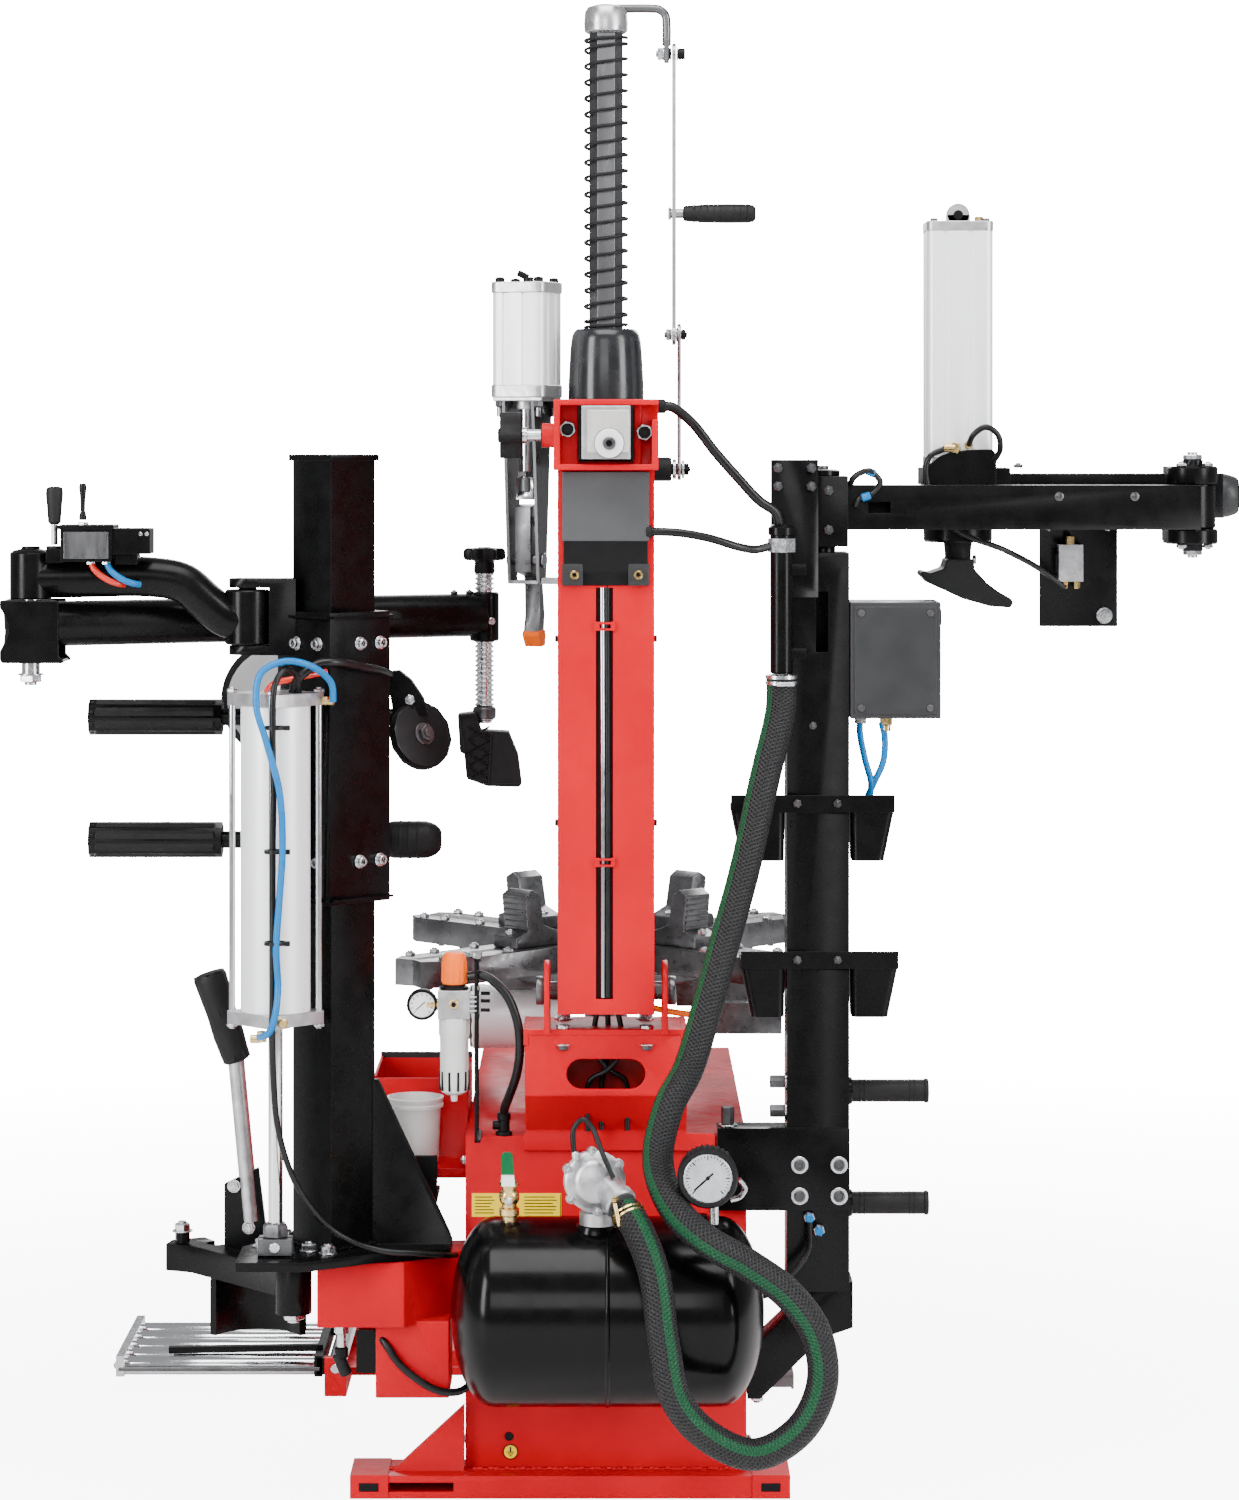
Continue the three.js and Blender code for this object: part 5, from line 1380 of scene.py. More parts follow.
def assist_control_box():
    """The control box on the arm, its lid and its bracket."""
    box = Shape()
    box.box((-703, -637), (-516, -462), (1230, 1276), BLACK)
    box.box((-638, -588), (-512, -462), (1240, 1273), BLACK)
    box.box((-706, -634), (-519, -460), (1272, 1277.5), BLACK)
    box.box((-636, -606), (-496, -462), (1226, 1242), BLACK)
    box.box((-724, -702), (-500, -478), (1228, 1246), BLACK)
    box.box((-699, -641), (-517, -515), (1234, 1269), DARK_STEEL)
    box.piece("assist_control_box", "assist_arm_inner", "black_paint", bevel=2.4, segments=3)


def assist_box_fittings():
    """The box's screws, ports and collars, and the elbow's nut."""
    bits = Shape()
    for x in (-592, -600):
        bits.rod((x, -512, 1266), (x, -514, 1266), 2.6, STEEL, edge=0.6)
    for x in (-666, -646):
        bits.rod((x, -500, 1231), (x, -500, 1226), 6, STEEL, sides=6, edge=0.8)
    bits.bolt((ELBOW.x, ELBOW.y, 1084), -Z, 30, STEEL, 9, washer=34)
    bits.rod(JOYSTICK_AT + Z * 1246, JOYSTICK_AT + Z * 1250, 11, RUBBER, edge=1.2)
    bits.rod(TOGGLE_AT + Z * 1277, TOGGLE_AT + Z * 1281, 7.5, STEEL, sides=6, edge=0.8)
    bits.piece("assist_box_fittings", "assist_arm_inner", "steel")


def assist_lines():
    """The two short air lines from the box into the arm."""
    for name, material, x, slot in (("assist_line_red", RED_LINE, -666, "red_paint"),
                                    ("assist_line_blue", BLUE, -646, "blue_hose")):
        points = [(x, -500, 1230), (x + 6, -503, 1219), (x + 20, -503, 1208), (x + 34, -499, 1202),
                  (x + 42, -490, 1200)]
        add_cord(name, points, 4.2, material, "assist_arm_inner", slot=slot)


def assist_arm_outer():
    """Straight tube with a round hub at the elbow and a sleeve for the presser's screw."""
    arm = Shape()
    hub = [(30, 1100.5), (35, 1103), (36, 1108), (35, 1120), (33.5, 1139), (35, 1160), (36, 1172),
           (34, 1178), (28, 1179)]
    arm.turned(hub, BLACK, (ELBOW.x, ELBOW.y, 0), sides=64)
    end = PRESSER_AT + Z * 1148
    start = Vector((ELBOW.x, ELBOW.y, 1148))
    along = (end - start).normalized()
    arm.rod(start + along * 4, end - along * 6, 29.4, BLACK, sides=64)
    arm.turned([(18, 1112), (20, 1114), (20, 1177), (18, 1179)], BLACK, PRESSER_AT, sides=48)
    arm.piece("assist_outer_tube", "assist_arm_outer", "black_paint", ["assist_arm_outer"], bevel=0.8)
    cover = Shape()
    concave = [(-782, 1104), (-782, 1114), (-777, 1124), (-772, 1138), (-772, 1150), (-777, 1163),
               (-782, 1171), (-782, 1180)]
    for low, high in ((-512, -507), (-439, -434)):
        cover.prism([(-706, 1180), (-706, 1108), (-700, 1103), (-700, 1099), (-778, 1099), *concave],
                    (low, high), BLACK, "y")
    cover.box((-781, -777), (-511, -435), (1100, 1112), BLACK)
    cover.box((-781, -777), (-511, -435), (1172, 1180), BLACK)
    cover.box((-780, -702), (-511, -435), (1099, 1102.5), BLACK)
    cover.piece("elbow_cover", "assist_arm_outer", "black_paint", bevel=2, segments=3)
    bits = Shape()
    side = along.cross(Z)
    for share in (0.93, 0.965):
        at = start.lerp(end, share) + Z * 29
        bits.bolt(at, Z, 11, DARK_STEEL, 4)
    sleeve = PRESSER_AT + Z * 1140
    bits.rod(sleeve + side * 19, sleeve + side * 26, 5, STEEL, edge=0.8)
    bits.piece("assist_sleeve_screws", "assist_arm_outer", "steel")


def control_levers():
    lever = Shape()
    lever.turned([(4.4, 1251.5), (4.4, 1286)], STEEL, JOYSTICK_AT, sides=20)
    lever.turned([(6, 1278), (8.4, 1281), (9.4, 1296), (11.4, 1318), (10.4, 1325), (6, 1327)], RUBBER,
                 JOYSTICK_AT, sides=32)
    lever.piece("joystick_grip", "joystick", "rubber", ["joystick"])
    switch = Shape()
    switch.turned([(5, 1283.5), (5, 1288), (4, 1292), (3, 1296), (3.6, 1312), (5.2, 1326), (4, 1331)], DARK,
                  TOGGLE_AT, sides=24)
    switch.piece("toggle_lever", "toggle_switch", "steel", ["toggle_switch"])


def presser_thread():
    """A screw with turned ridges for its thread."""
    x, y = PRESSER_AT.x, PRESSER_AT.y
    screw = Shape()
    profile = [(10, 1000)]
    z = 1003
    while z < 1202:
        profile += [(10.4, z), (13, z + 1.6), (13.4, z + 2.6), (13, z + 3.6), (10.4, z + 5.2)]
        z += 6.6
    screw.turned([*profile, (10, 1208)], STEEL, (x, y, 0), Z, 28)
    screw.piece("presser_thread", "presser_screw", "steel", ["presser_screw"])


def presser_knob():
    """The lobed knob on top of the screw."""
    x, y = PRESSER_AT.x, PRESSER_AT.y
    knob = Shape()
    lobes = [(24.5 + 4.5 * math.cos(math.radians(30 * i)), floor_heading(5 * i)) for i in range(72)]
    rings = []
    for z, scale in ((1222, 0.84), (1224, 0.97), (1227, 1.0), (1233, 1.0), (1237, 0.96), (1239, 0.84)):
        rings.append([Vector((x, y, z)) + out * (r * scale) for r, out in lobes])
    knob.loft(rings, DARK)
    knob.turned([(14, 1205), (14.5, 1208), (13.5, 1220), (16, 1224)], DARK, (x, y, 0), Z, 40)
    knob.rod((x, y, 1239), (x, y, 1240.5), 9, STEEL, edge=0.5)
    knob.piece("presser_knob", "presser_screw", "rubber")


def presser_shoe():
    """The ribbed rubber shoe below the screw."""
    x, y = PRESSER_AT.x, PRESSER_AT.y
    shoe = Shape()
    outline = [(-36, 1013), (-10, 1016), (-5, 991), (33, 989), (46, 957), (51, 917), (47, 914), (6, 915),
               (-23, 925), (-25, 957), (-33, 962)]
    shoe.prism([(x + a, b) for a, b in outline], (y - 19, y + 22), RUBBER, "y")
    rear = y - 20.5
    edge = [(-34, 1011), (-25, 960), (-22, 927), (6, 917), (10, 988), (-6, 990), (-12, 1013)]
    for a, b in zip(edge, edge[1:] + edge[:1]):
        shoe.beam((x + a[0], rear, a[1]), (x + b[0], rear, b[1]), 4, 4, RUBBER, Y)
    for i in range(4):
        low, high = 925 + 18 * i, 943 + 18 * i
        for left, right in ((low, high), (high, low)):
            shoe.beam((x - 22, rear, left), (x + 8, rear, right), 3, 3, RUBBER, Y)
    shoe.turned([(15, 1006), (16, 1010), (16, 1020), (13, 1023)], DARK_STEEL, (x, y, 0), Z, 32)
    shoe.piece("presser_shoe", "presser_screw", "rubber", bevel=2.4, segments=3)


DISC_PIVOT = PIVOTS["disc_arm_swing"]


def disc_arms():
    """Grips, hubs and tubes of the two swinging arms."""
    x, y = DISC_PIVOT.x, DISC_PIVOT.y
    for node, z, end in (("disc_arm", 1016, -262), ("roller_arm", 852, -220)):
        arm = Shape()
        arm.rod((-522, y, z), (x - 12, y, z), 11.4, BLACK, sides=40)
        arm.rod((x + 12, y, z), (end, y, z), 11.4, BLACK, sides=40)
        arm.turned([(18, z - 22.4), (20.4, z - 20.5), (20.4, z + 18.5), (18, z + 20.4), (8.8, z + 20.4),
                    (8.8, z - 22.4)], BLACK, (x, y, 0), Z, 48, closed=True)
        arm.piece(node + "_tube", node, "black_paint")
        grip = Shape()
        for start, last, radius in ((-690.5, -682, 23), (-683, -521, 24.6), (-522, -514, 22)):
            grip.rod((start, y, z), (last, y, z), radius, RUBBER, sides=8, edge=2.5,
                     across=(0, 0.924, 0.383))
        grip.rod((-692.5, y, z), (-689, y, z), 12, DARK, edge=1)
        grip.piece(node + "_grip", node, "rubber", bevel=1.6)


def swing_pin_heads():
    """Heads of the two arms' hinge pins."""
    x, y = DISC_PIVOT.x, DISC_PIVOT.y
    washer = Shape()
    for z, way in ((1048, Z), (884, Z), (982, -Z), (818, -Z)):
        washer.bolt((x, y, z), way, 22, DARK_STEEL, 6)
    washer.piece("swing_pin_heads", "carriage", "steel")


def bead_disc():
    """The pale disc with its rubber rim."""
    cone = Shape()
    at = Vector((-440, -256, 1036))
    profile = [(10, 8.4), (26, 8.6), (60, 8.8), (69, 8.6), (72, 6), (72, -5.4), (69, -6.6), (10, -6.6)]
    cone.turned(profile, PALE_GREY, at, -Y, 96, closed=True)
    cone.turned([(71.5, 7.5), (78.5, 4.6), (80.3, 2), (80.3, -2.2), (78, -3), (71.5, -5.5)], RUBBER, at, -Y,
                96, closed=True)
    cone.turned([(18, 8), (18, 12), (15, 13), (10, 13), (10, 8)], STEEL, at, -Y, 40, closed=True)
    cone.piece("bead_disc_face", "bead_disc", "grey_cover", ["bead_disc"])


def bead_roller():
    """The rubber roller with three ridges."""
    y = DISC_PIVOT.y
    roller = Shape()
    profile = [(11.8, 0), (22, 0), (23.5, 1.5), (25, 8), (25, 49), (23.6, 56), (20, 64), (14, 70),
               (11.8, 70)]
    roller.turned(profile, RUBBER, (-291, y, 852), X, 64, closed=True)
    for shift in (14, 26, 38):
        roller.turned([(25, shift), (25.5, shift + 1), (25.5, shift + 3), (25, shift + 4)], RUBBER,
                      (-291, y, 852), X, 64, closed=True)
    roller.piece("bead_roller_tread", "bead_roller", "rubber", ["bead_roller"])


def cone_disc():
    """A tilted rubber cup on its bracket."""
    y = DISC_PIVOT.y
    cup = Shape()
    axis = Z
    for way, angle in (("X", math.pi / 2), ("Z", math.pi / 5), ("X", -0.35)):
        axis = Matrix.Rotation(angle, 3, way) @ axis
    if axis.y > 0:
        axis = -axis
    middle = Vector((-248, y - 8, 992))
    cup.turned([(12, 9.5), (34, 9), (44, 7), (46.4, 3), (46.6, -4), (44, -7.4), (12, -8)], RUBBER, middle,
               axis, 72)
    cup.bolt(middle + axis * 9.5, axis, 22, DARK_STEEL, 7, washer=30)
    cup.rod((-262, y, 992), (-262, y, 1031), 14.4, BLACK, sides=40, edge=1.5)
    cup.prism([(-292, 1066), (-286, 1078), (-276, 1079), (-260, 1066), (-244, 1042), (-238, 1020),
               (-284, 1020)], (y - 12, y + 12), BLACK, "y")
    cup.bolt((-262, y - 12, 1040), -Y, 15, STEEL, 5)
    cup.piece("cone_disc", "disc_arm", "rubber", bevel=1.2)


# ---- bead breaker and wheel lift ----
def bead_breaker():
    """Padded blade, channel arm, and the upright handle with its foam grip."""
    handle = Shape()
    low, high = Vector((-480, -250, 330)), Vector((-502, -250, 562))
    handle.rod(low, high, 11.2, CAST_ALUMINIUM, sides=40)
    handle.piece("breaker_handle_tube", "bead_breaker", "steel")
    grip = Shape()
    start, end = Vector((-499, -250, 546)), Vector((-538, -250, 666))
    along = (end - start).normalized()
    stations = [(0, 15), (0.02, 18.5), (0.3, 21), (0.55, 20.3), (0.8, 22), (0.95, 23), (0.99, 20.5),
                (1.0, 15)]
    grip.loft([ring(start.lerp(end, t), along, r, 48) for t, r in stations], RUBBER)
    grip.piece("breaker_grip", "bead_breaker", "rubber")
    bolts = Shape()
    bolts.bolt((-410, -420, 312), Z, 34, STEEL, 12, washer=44)
    bolts.bolt((-575, -232, 312), Z, 22, STEEL, 9, washer=28)
    for x, z in ((-503, 378), (-483, 322)):
        bolts.bolt((x, -256, z), -Y, 15, STEEL, 5, washer=18)
    bolts.bolt((-410, -420, 242), -Z, 30, STEEL, 8)
    bolts.piece("breaker_bolts", "bead_breaker", "steel")
    pad = Shape()
    section = ((0.6, 181), (2.2, 184), (2.2, 250), (0.6, 256), (-1, 256), (-1, 181))
    rings = []
    for i in range(25):
        angle = math.pi * (0.16 + 0.68 * i / 24)
        outward = Vector((-math.cos(angle), math.sin(angle), 0))
        at = Vector((-470 - 72 * math.cos(angle), -300 + 86 * math.sin(angle), 0))
        rings.append([at + outward * r + Z * z for r, z in section])
    pad.loft(rings, RUBBER)
    pad.piece("breaker_pad", "bead_breaker", "rubber")


def wheel_lift():
    """Platform of steel rollers between two bars, hung on a hinge tube."""
    x, z, near, far = -392, 40, 160, 420
    platform = Shape()
    platform.rod((x, near - 8, z), (x, far + 8, z), 13.2, STEEL, sides=40, edge=1)
    platform.rod((x, near - 24, z), (x, far + 24, z), 7, STEEL, sides=24, edge=1)
    platform.box((-712, -700), (near - 6, far + 6), (z - 15, z + 15), STEEL)
    platform.box((-424, -412), (near - 6, far + 6), (z - 15, z + 15), BLACK)
    for y0, y1 in ((near - 6, near + 12), (far - 12, far + 6)):
        platform.box((-420, x), (y0, y1), (z - 12, z + 12), BLACK)
    for y in (near - 4, far + 4):
        platform.rod((-708, y, z - 4), (-416, y, z - 4), 3.6, DARK_STEEL, sides=12)
    for i in range(5):
        y = near + 18 + i * (far - near - 36) / 4
        platform.turned([(9, 0), (12.4, 1.5), (13.2, 4), (13.2, 283), (12.4, 286), (9, 287)], CHROME,
                        (-705, y, z - 4), X, 48)
        platform.bolt((-712, y, z - 4), -X, 13, STEEL, 4)
    platform.beam((-640, near + 44, z + 13), (x - 22, near + 44, z + 17), 12, 9, BLACK)
    platform.piece("wheel_platform", "wheel_lift", "steel", ["wheel_lift"], bevel=1.2)


# ---- turntable ----
TABLE_AT = Vector((PIVOTS["table_spin"].x, PIVOTS["table_spin"].y, 0))


def turntable_details():
    """Smooth skins over the clamp cylinder and hub, bolts and the air hoses under the table."""
    skin = Shape()
    profile = [(0, 0), (30, 0), (41, 2), (45.2, 6), (45.2, 20), (44.3, 22), (44.3, 104), (45.2, 106),
               (45.2, 131)]
    skin.turned([*profile, (0, 131)], ALUMINIUM, (-191.5, -35, 576), X, 72)
    skin.turned([(11, -7), (12, -6), (12, 2)], BRASS, (-191, -35, 576), X, 24)
    for i in range(4):
        angle = math.radians(45 + 90 * i)
        skin.bolt((-191, -35 + 34 * math.cos(angle), 576 + 34 * math.sin(angle)), -X, 11, STEEL, 4)
    skin.piece("clamp_cylinder", "turntable", "aluminium")
    hub = Shape()
    hub.turned([(146, 627), (150.6, 630), (150.6, 643), (146, 646)], DARK_CAST, TABLE_AT, Z, 96)
    hub.turned([(30.4, 470), (30.4, 628)], DARK_STEEL, TABLE_AT, Z, 48)
    hub.turned([(125.4, 646), (125.4, 679.6), (123, 681), (41, 681), (40.4, 690), (38, 691.4), (24, 691.4),
                (22, 684), (0, 684)], DARK_CAST, TABLE_AT, Z, 96)
    hub.piece("table_hub", "turntable", "cast_steel")
    fixings = Shape()
    for i in range(4):
        out = floor_heading(45 + 90 * i)
        across = Vector((-out.y, out.x, 0))
        for reach in (225, 300, 345):
            for side in (-34, 34):
                fixings.bolt(TABLE_AT + out * reach + across * side + Z * 681, Z, 15, STEEL, 5)
            fixings.bolt(TABLE_AT + out * reach + Z * 645, -Z, 17, DARK_STEEL, 7)
        fixings.beam(TABLE_AT + out * 150 + Z * 681.1, TABLE_AT + out * 366 + Z * 681.1, 16, 0.3, DARK, Z)
    fixings.piece("table_bolts", "turntable", "steel")
    route = [(-60, -36, 596), (-40, -54, 610), (0, -66, 606), (60, -60, 592), (110, -40, 580),
             (150, -10, 575)]
    add_cord("table_air_line", route, 4.5, ORANGE, "turntable", slot="orange_plastic")
    for node in ("jaw_1", "jaw_2", "jaw_3", "jaw_4"):
        jaw_teeth(node)


def jaw_teeth(node):
    """Ridges on a jaw's gripping face and a screw through its foot."""
    box = place(node)
    out = Vector((box.cx, box.cy, 0)) - TABLE_AT
    middle = out.length
    out.normalize()
    across = Vector((-out.y, out.x, 0))
    teeth = Shape()
    for i in range(6):
        at = TABLE_AT + out * (middle + 21 + 0.8 * i) + Z * (708 + 8 * i)
        teeth.beam(at - across * 22, at + across * 22, 4, 2.6, DARK_CAST)
    teeth.bolt(TABLE_AT + out * (middle + 32) + Z * 699, Z, 15, STEEL, 6)
    teeth.bolt(TABLE_AT + out * (middle - 28) + Z * 699, Z, 15, STEEL, 6)
    teeth.piece(node + "_teeth", node, "cast_steel", bevel=0.5)


# ---- press column ----
def rounded_box(x, y, radius, z):
    """A ring of points round a rectangle with round corners, at height z."""
    points = []
    corners = ((x[1], y[1], 0), (x[0], y[1], 90), (x[0], y[0], 180), (x[1], y[0], 270))
    for cx, cy, start in corners:
        inward = Vector((-1 if start in (0, 270) else 1, -1 if start in (0, 90) else 1, 0)) * radius
        for step in range(5):
            points.append(Vector((cx, cy, z)) + inward + floor_heading(start + 22.5 * step) * radius)
    return points


def open_bin(shape, x, y, top, bottom, taper, material):
    """A tray whose two sides come in by the taper pair towards the bottom."""
    narrow = (x[0] + taper[0], x[1] - taper[1]), (y[0], y[1] - 6)
    wall = 2.4
    inside = (x[0] + wall, x[1] - wall), (y[0] + wall, y[1] - wall)
    low_inside = (narrow[0][0] + wall, narrow[0][1] - wall), (narrow[1][0] + wall, narrow[1][1] - wall)
    shape.loft([
        rounded_box(*narrow, 9, bottom),
        rounded_box(*narrow, 10, bottom + 2),
        rounded_box(x, y, 10, top - 7),
        rounded_box(x, y, 10, top),
        rounded_box(*inside, 8, top),
        rounded_box(*low_inside, 7, bottom + wall),
    ], material)


def bin_racks():
    for node, top, left, right in (("bin_rack_upper", 904, (165, 236), (323, 380)),
                                   ("bin_rack_lower", 698, (178, 236), (323, 385))):
        rack = Shape()
        rack.box((left[0] - 0.5, right[1] + 0.5), (-397.5, -394.8), (top - 8, top + 15), BLACK)
        for x, taper in ((left, (13, 1)), (right, (1, 13))):
            open_bin(rack, x, (-394.6, -330), top, top - 72, taper, BLACK)
        rack.piece(node + "_trays", "root", "black_paint", [node], bevel=0.7)
        screws = Shape()
        for x in (left[1] + 16, right[0] - 18):
            screws.bolt((x, -397.5, top + 4), -Y, 12, DARK_STEEL, 4)
        screws.piece(node + "_screws", "root", "steel")


RISER_AT = Vector((230, -425, 0))


def hanger_pegs():
    """Two rubber-covered pegs with ribs."""
    pegs = Shape()
    for z in (522, 373):
        pegs.rod((321, -348, z), (427, -348, z), 14.8, RUBBER, sides=40, edge=2)
        for x in (336, 342, 402, 408):
            pegs.rod((x, -348, z), (x + 2.5, -348, z), 15.4, RUBBER, sides=40, edge=0.8)
        pegs.rod((422, -348, z), (428.6, -348, z), 16, RUBBER, sides=40, edge=1.5)
        pegs.rod((321, -348, z), (327, -348, z), 18, BLACK, sides=40, edge=1.5)
    pegs.piece("hanger_pegs", "root", "rubber")


def column_bolts():
    """Bolts of the post that carries the press arm."""
    bolts = Shape()
    for x in (255, 307):
        for z in (432, 391):
            bolts.rod((x, -398, z), (x, -400.5, z), 11.5, STEEL, sides=32, edge=0.6)
            bolts.turned([(8, 0), (7.5, 3.4), (4.6, 4), (4, 1.5), (0, 1.5)], DARK_STEEL, (x, -400.5, z), -Y,
                         28)
    bolts.rod((161, -374, 480), (161, -374, 482), 13, STEEL, sides=28, edge=0.5)
    bolts.rod((161, -374, 482), (161, -374, 505), 9, DARK_STEEL, sides=6, edge=1)
    for z in (537, 498):
        bolts.rod((239, -366, z), (236.5, -366, z), 13, STEEL, sides=28, edge=0.5)
        bolts.rod((236.5, -366, z), (217, -366, z), 9, DARK_STEEL, sides=6, edge=1)
    for x in (226, 270):
        for z in (1350, 1326):
            bolts.bolt((x, -408, z), -Y, 14, DARK_STEEL, 5)
    bolts.bolt((287, -347, 1339), Z, 34, DARK_STEEL, 9)
    bolts.bolt((273, -389.5, 1010), -Y, 11, DARK_STEEL, 2)
    for y in (-366, -332):
        bolts.bolt((300, y, 243), -Z, 17, STEEL, 7)
        bolts.bolt((200, y, 120), -Z, 17, STEEL, 6)
    bolts.piece("column_bolts", "root", "steel")


def riser_pipe():
    """The inflator's pipe up the post, and the clamps of its hose."""
    pipe = Shape()
    pipe.turned([(13, 1081), (15, 1083), (15, 1262), (17.5, 1263), (17.5, 1272), (13, 1276), (8, 1277)],
                BLACK, RISER_AT, Z, 48)
    pipe.turned([(18.4, 1240), (18.4, 1258)], STEEL, RISER_AT, Z, 6)
    pipe.piece("riser_pipe", "root", "black_paint")
    clamps = Shape()
    for z in (1066, 1074):
        clamps.turned([(20.2, z), (21.4, z + 0.5), (21.4, z + 5), (20.2, z + 5.5)], STEEL, RISER_AT, Z, 48,
                      closed=True)
    clamps.rod((246, -442, 1068), (222, -448, 1068), 3.2, STEEL, edge=0.8)
    clamps.piece("hose_clamp_high", "root", "steel")


def column_air_line():
    """Two air couplers in the post's foot and the line from one."""
    fittings = Shape()
    for x, z in ((268, 362), (281, 345)):
        fittings.rod((x, -388, z), (x, -396, z), 8, STEEL, sides=6, edge=0.8)
        fittings.rod((x, -394, z), (x, -404, z), 5.6, BLUE, edge=1)
    fittings.rod((246, -389, 880), (246, -392, 880), 4, DARK, edge=1)
    fittings.piece("column_air_fittings", "root", "blue_hose")
    route = [(268, -400, 358), (266, -404, 320), (240, -408, 286), (212, -402, 262), (190, -390, 258)]
    add_cord("column_air_line", route, 4, SLEEVE, "root")


def control_cabinet():
    """Door seam, top tab, louvres and the brass couplers under the grey box."""
    box = place("control_cabinet")
    door = Shape()
    door.box((box.x0 + 5, box.x1 - 5), (box.y0 - 2.2, box.y0 + 1), (box.z0 + 5, box.z1 - 5), GREY)
    door.piece("cabinet_door", "root", "grey_cover", bevel=1.6, segments=3)
    bits = Shape()
    bits.box((box.x1 - 22, box.x1 + 1.5), (box.y0 + 6, box.y0 + 26), (box.z1 - 30, box.z1 - 10), DARK)
    bits.box((box.x1 - 1, box.x1 + 3), (box.y0 + 40, box.y0 + 60), (box.z1 - 50, box.z1 - 26), DARK)
    for x in (box.x0 + 14, box.x1 - 14):
        for z in (box.z0 + 14, box.z1 - 14):
            bits.turned([(5, 0), (4.4, 1.6), (1.2, 1.8)], DARK_STEEL, (x, box.y0 - 2.2, z), -Y, 24)
    for row in range(6):
        z = box.z0 + 30 + 9 * row
        bits.box((box.x1 - 0.5, box.x1 + 1.2), (box.y0 + 26, box.y1 - 20), (z, z + 3), DARK)
    bits.piece("cabinet_fixings", "root", "grey_cover", bevel=0.5)
    couplers = Shape()
    couplers.rod((372, -352, 1021), (372, -352, 1008), 8.5, BRASS, sides=6, edge=1)
    couplers.rod((372, -352, 1010), (372, -352, 1000), 6.4, BRASS, edge=1)
    couplers.rod((338, -352, 1021), (338, -352, 1010), 8, STEEL, sides=6, edge=1)
    couplers.turned([(6.5, 872), (8.5, 874), (8.5, 886), (6, 890)], BRASS, (342, -350, 0), Z, 24)
    couplers.piece("cabinet_couplers", "root", "steel")


# ---- press arm ----
PRESS_ELBOW = PIVOTS["press_outer_swing"]
PRESS_AT = Vector((478, -228, 0))


def inner_arm_details():
    hub = Vector((287, -347, 0))
    bits = Shape()
    bits.turned([(22, 1338), (24, 1340), (24, 1346), (19, 1348)], BLACK, hub, Z, 40)
    for z in (1320, 1268):
        bits.bolt((294, -381, z), -Y, 14, DARK_STEEL, 6)
    bits.turned([(28, 1268), (30.6, 1270), (30.6, 1325), (28, 1327)], BLACK,
                (PRESS_ELBOW.x, PRESS_ELBOW.y, 0), Z, 56)
    for x in (600, 700):
        bits.turned([(6, 0), (6, 1.5), (3, 2.5)], DARK_STEEL, (x, -370, 1312), -Y, 20)
    bits.piece("inner_arm_bolts", "press_arm_inner", "steel")
    add_cord("arm_line", [(322, -368, 1324), (328, -382, 1338), (346, -388, 1346), (362, -384, 1332),
                          (352, -376, 1316), (336, -374, 1310), (330, -369, 1300)], 4, SLEEVE,
             "press_arm_inner")
    ends = Shape()
    for at, turn in (((350, -386, 1344), (1, 0, -0.4)), ((344, -377, 1312), (1, 0, 0.3))):
        heading = Vector(turn).normalized()
        ends.rod(Vector(at) - heading * 6, Vector(at) + heading * 6, 5.4, BLUE, sides=20, edge=1)
    ends.piece("arm_line_couplers", "press_arm_inner", "blue_hose")


def press_cylinder():
    """Aluminium profile cylinder standing on the outer arm, with end caps, lug and port."""
    x, y = PRESS_AT.x, PRESS_AT.y
    barrel = Shape()
    outline = [(x + a, y + b) for a, b in extrusion_outline(44.4, 10)]
    barrel.prism(outline, (1364, 1669), ALUMINIUM)
    barrel.piece("press_barrel", "press_arm_outer", "aluminium")
    caps = Shape()
    outline = [(x + a, y + b) for a, b in extrusion_outline(45, 10, 0.01)]
    caps.prism(outline, (1350, 1365), CAST_ALUMINIUM)
    caps.prism(outline, (1668.5, 1682.5), CAST_ALUMINIUM)
    caps.piece("press_end_caps", "press_arm_outer", "aluminium", bevel=1.6)
    lug = Shape()
    lug.box((x - 16, x + 16), (y - 8, y + 8), (1681, 1692), CAST_ALUMINIUM)
    lug.rod((x, y - 8, 1692), (x, y + 8, 1692), 15.6, CAST_ALUMINIUM, sides=48, edge=1)
    lug.rod((x, y - 8.6, 1692), (x, y + 8.6, 1692), 6.5, DARK, sides=32)
    lug.rod((x + 27, y - 20, 1682), (x + 27, y - 20, 1689), 6, BRASS, sides=6, edge=1)
    for dx in (-35, 35):
        for dy in (-35, 35):
            lug.rod((x + dx, y + dy, 1682), (x + dx, y + dy, 1686), 5, DARK_STEEL, sides=24, edge=1)
    lug.piece("press_lug", "press_arm_outer", "aluminium")
    fitting = Shape()
    fitting.rod((x - 8, y - 45, 1376), (x - 8, y - 58, 1376), 8, BRASS, sides=6, edge=1)
    fitting.rod((x - 8, y - 54, 1376), (x - 24, y - 54, 1376), 5.5, BRASS, edge=1)
    fitting.rod((x + 10, y - 45, 1380), (x + 10, y - 54, 1380), 6, BRASS, sides=6, edge=1)
    fitting.piece("press_fittings", "press_arm_outer", "steel")


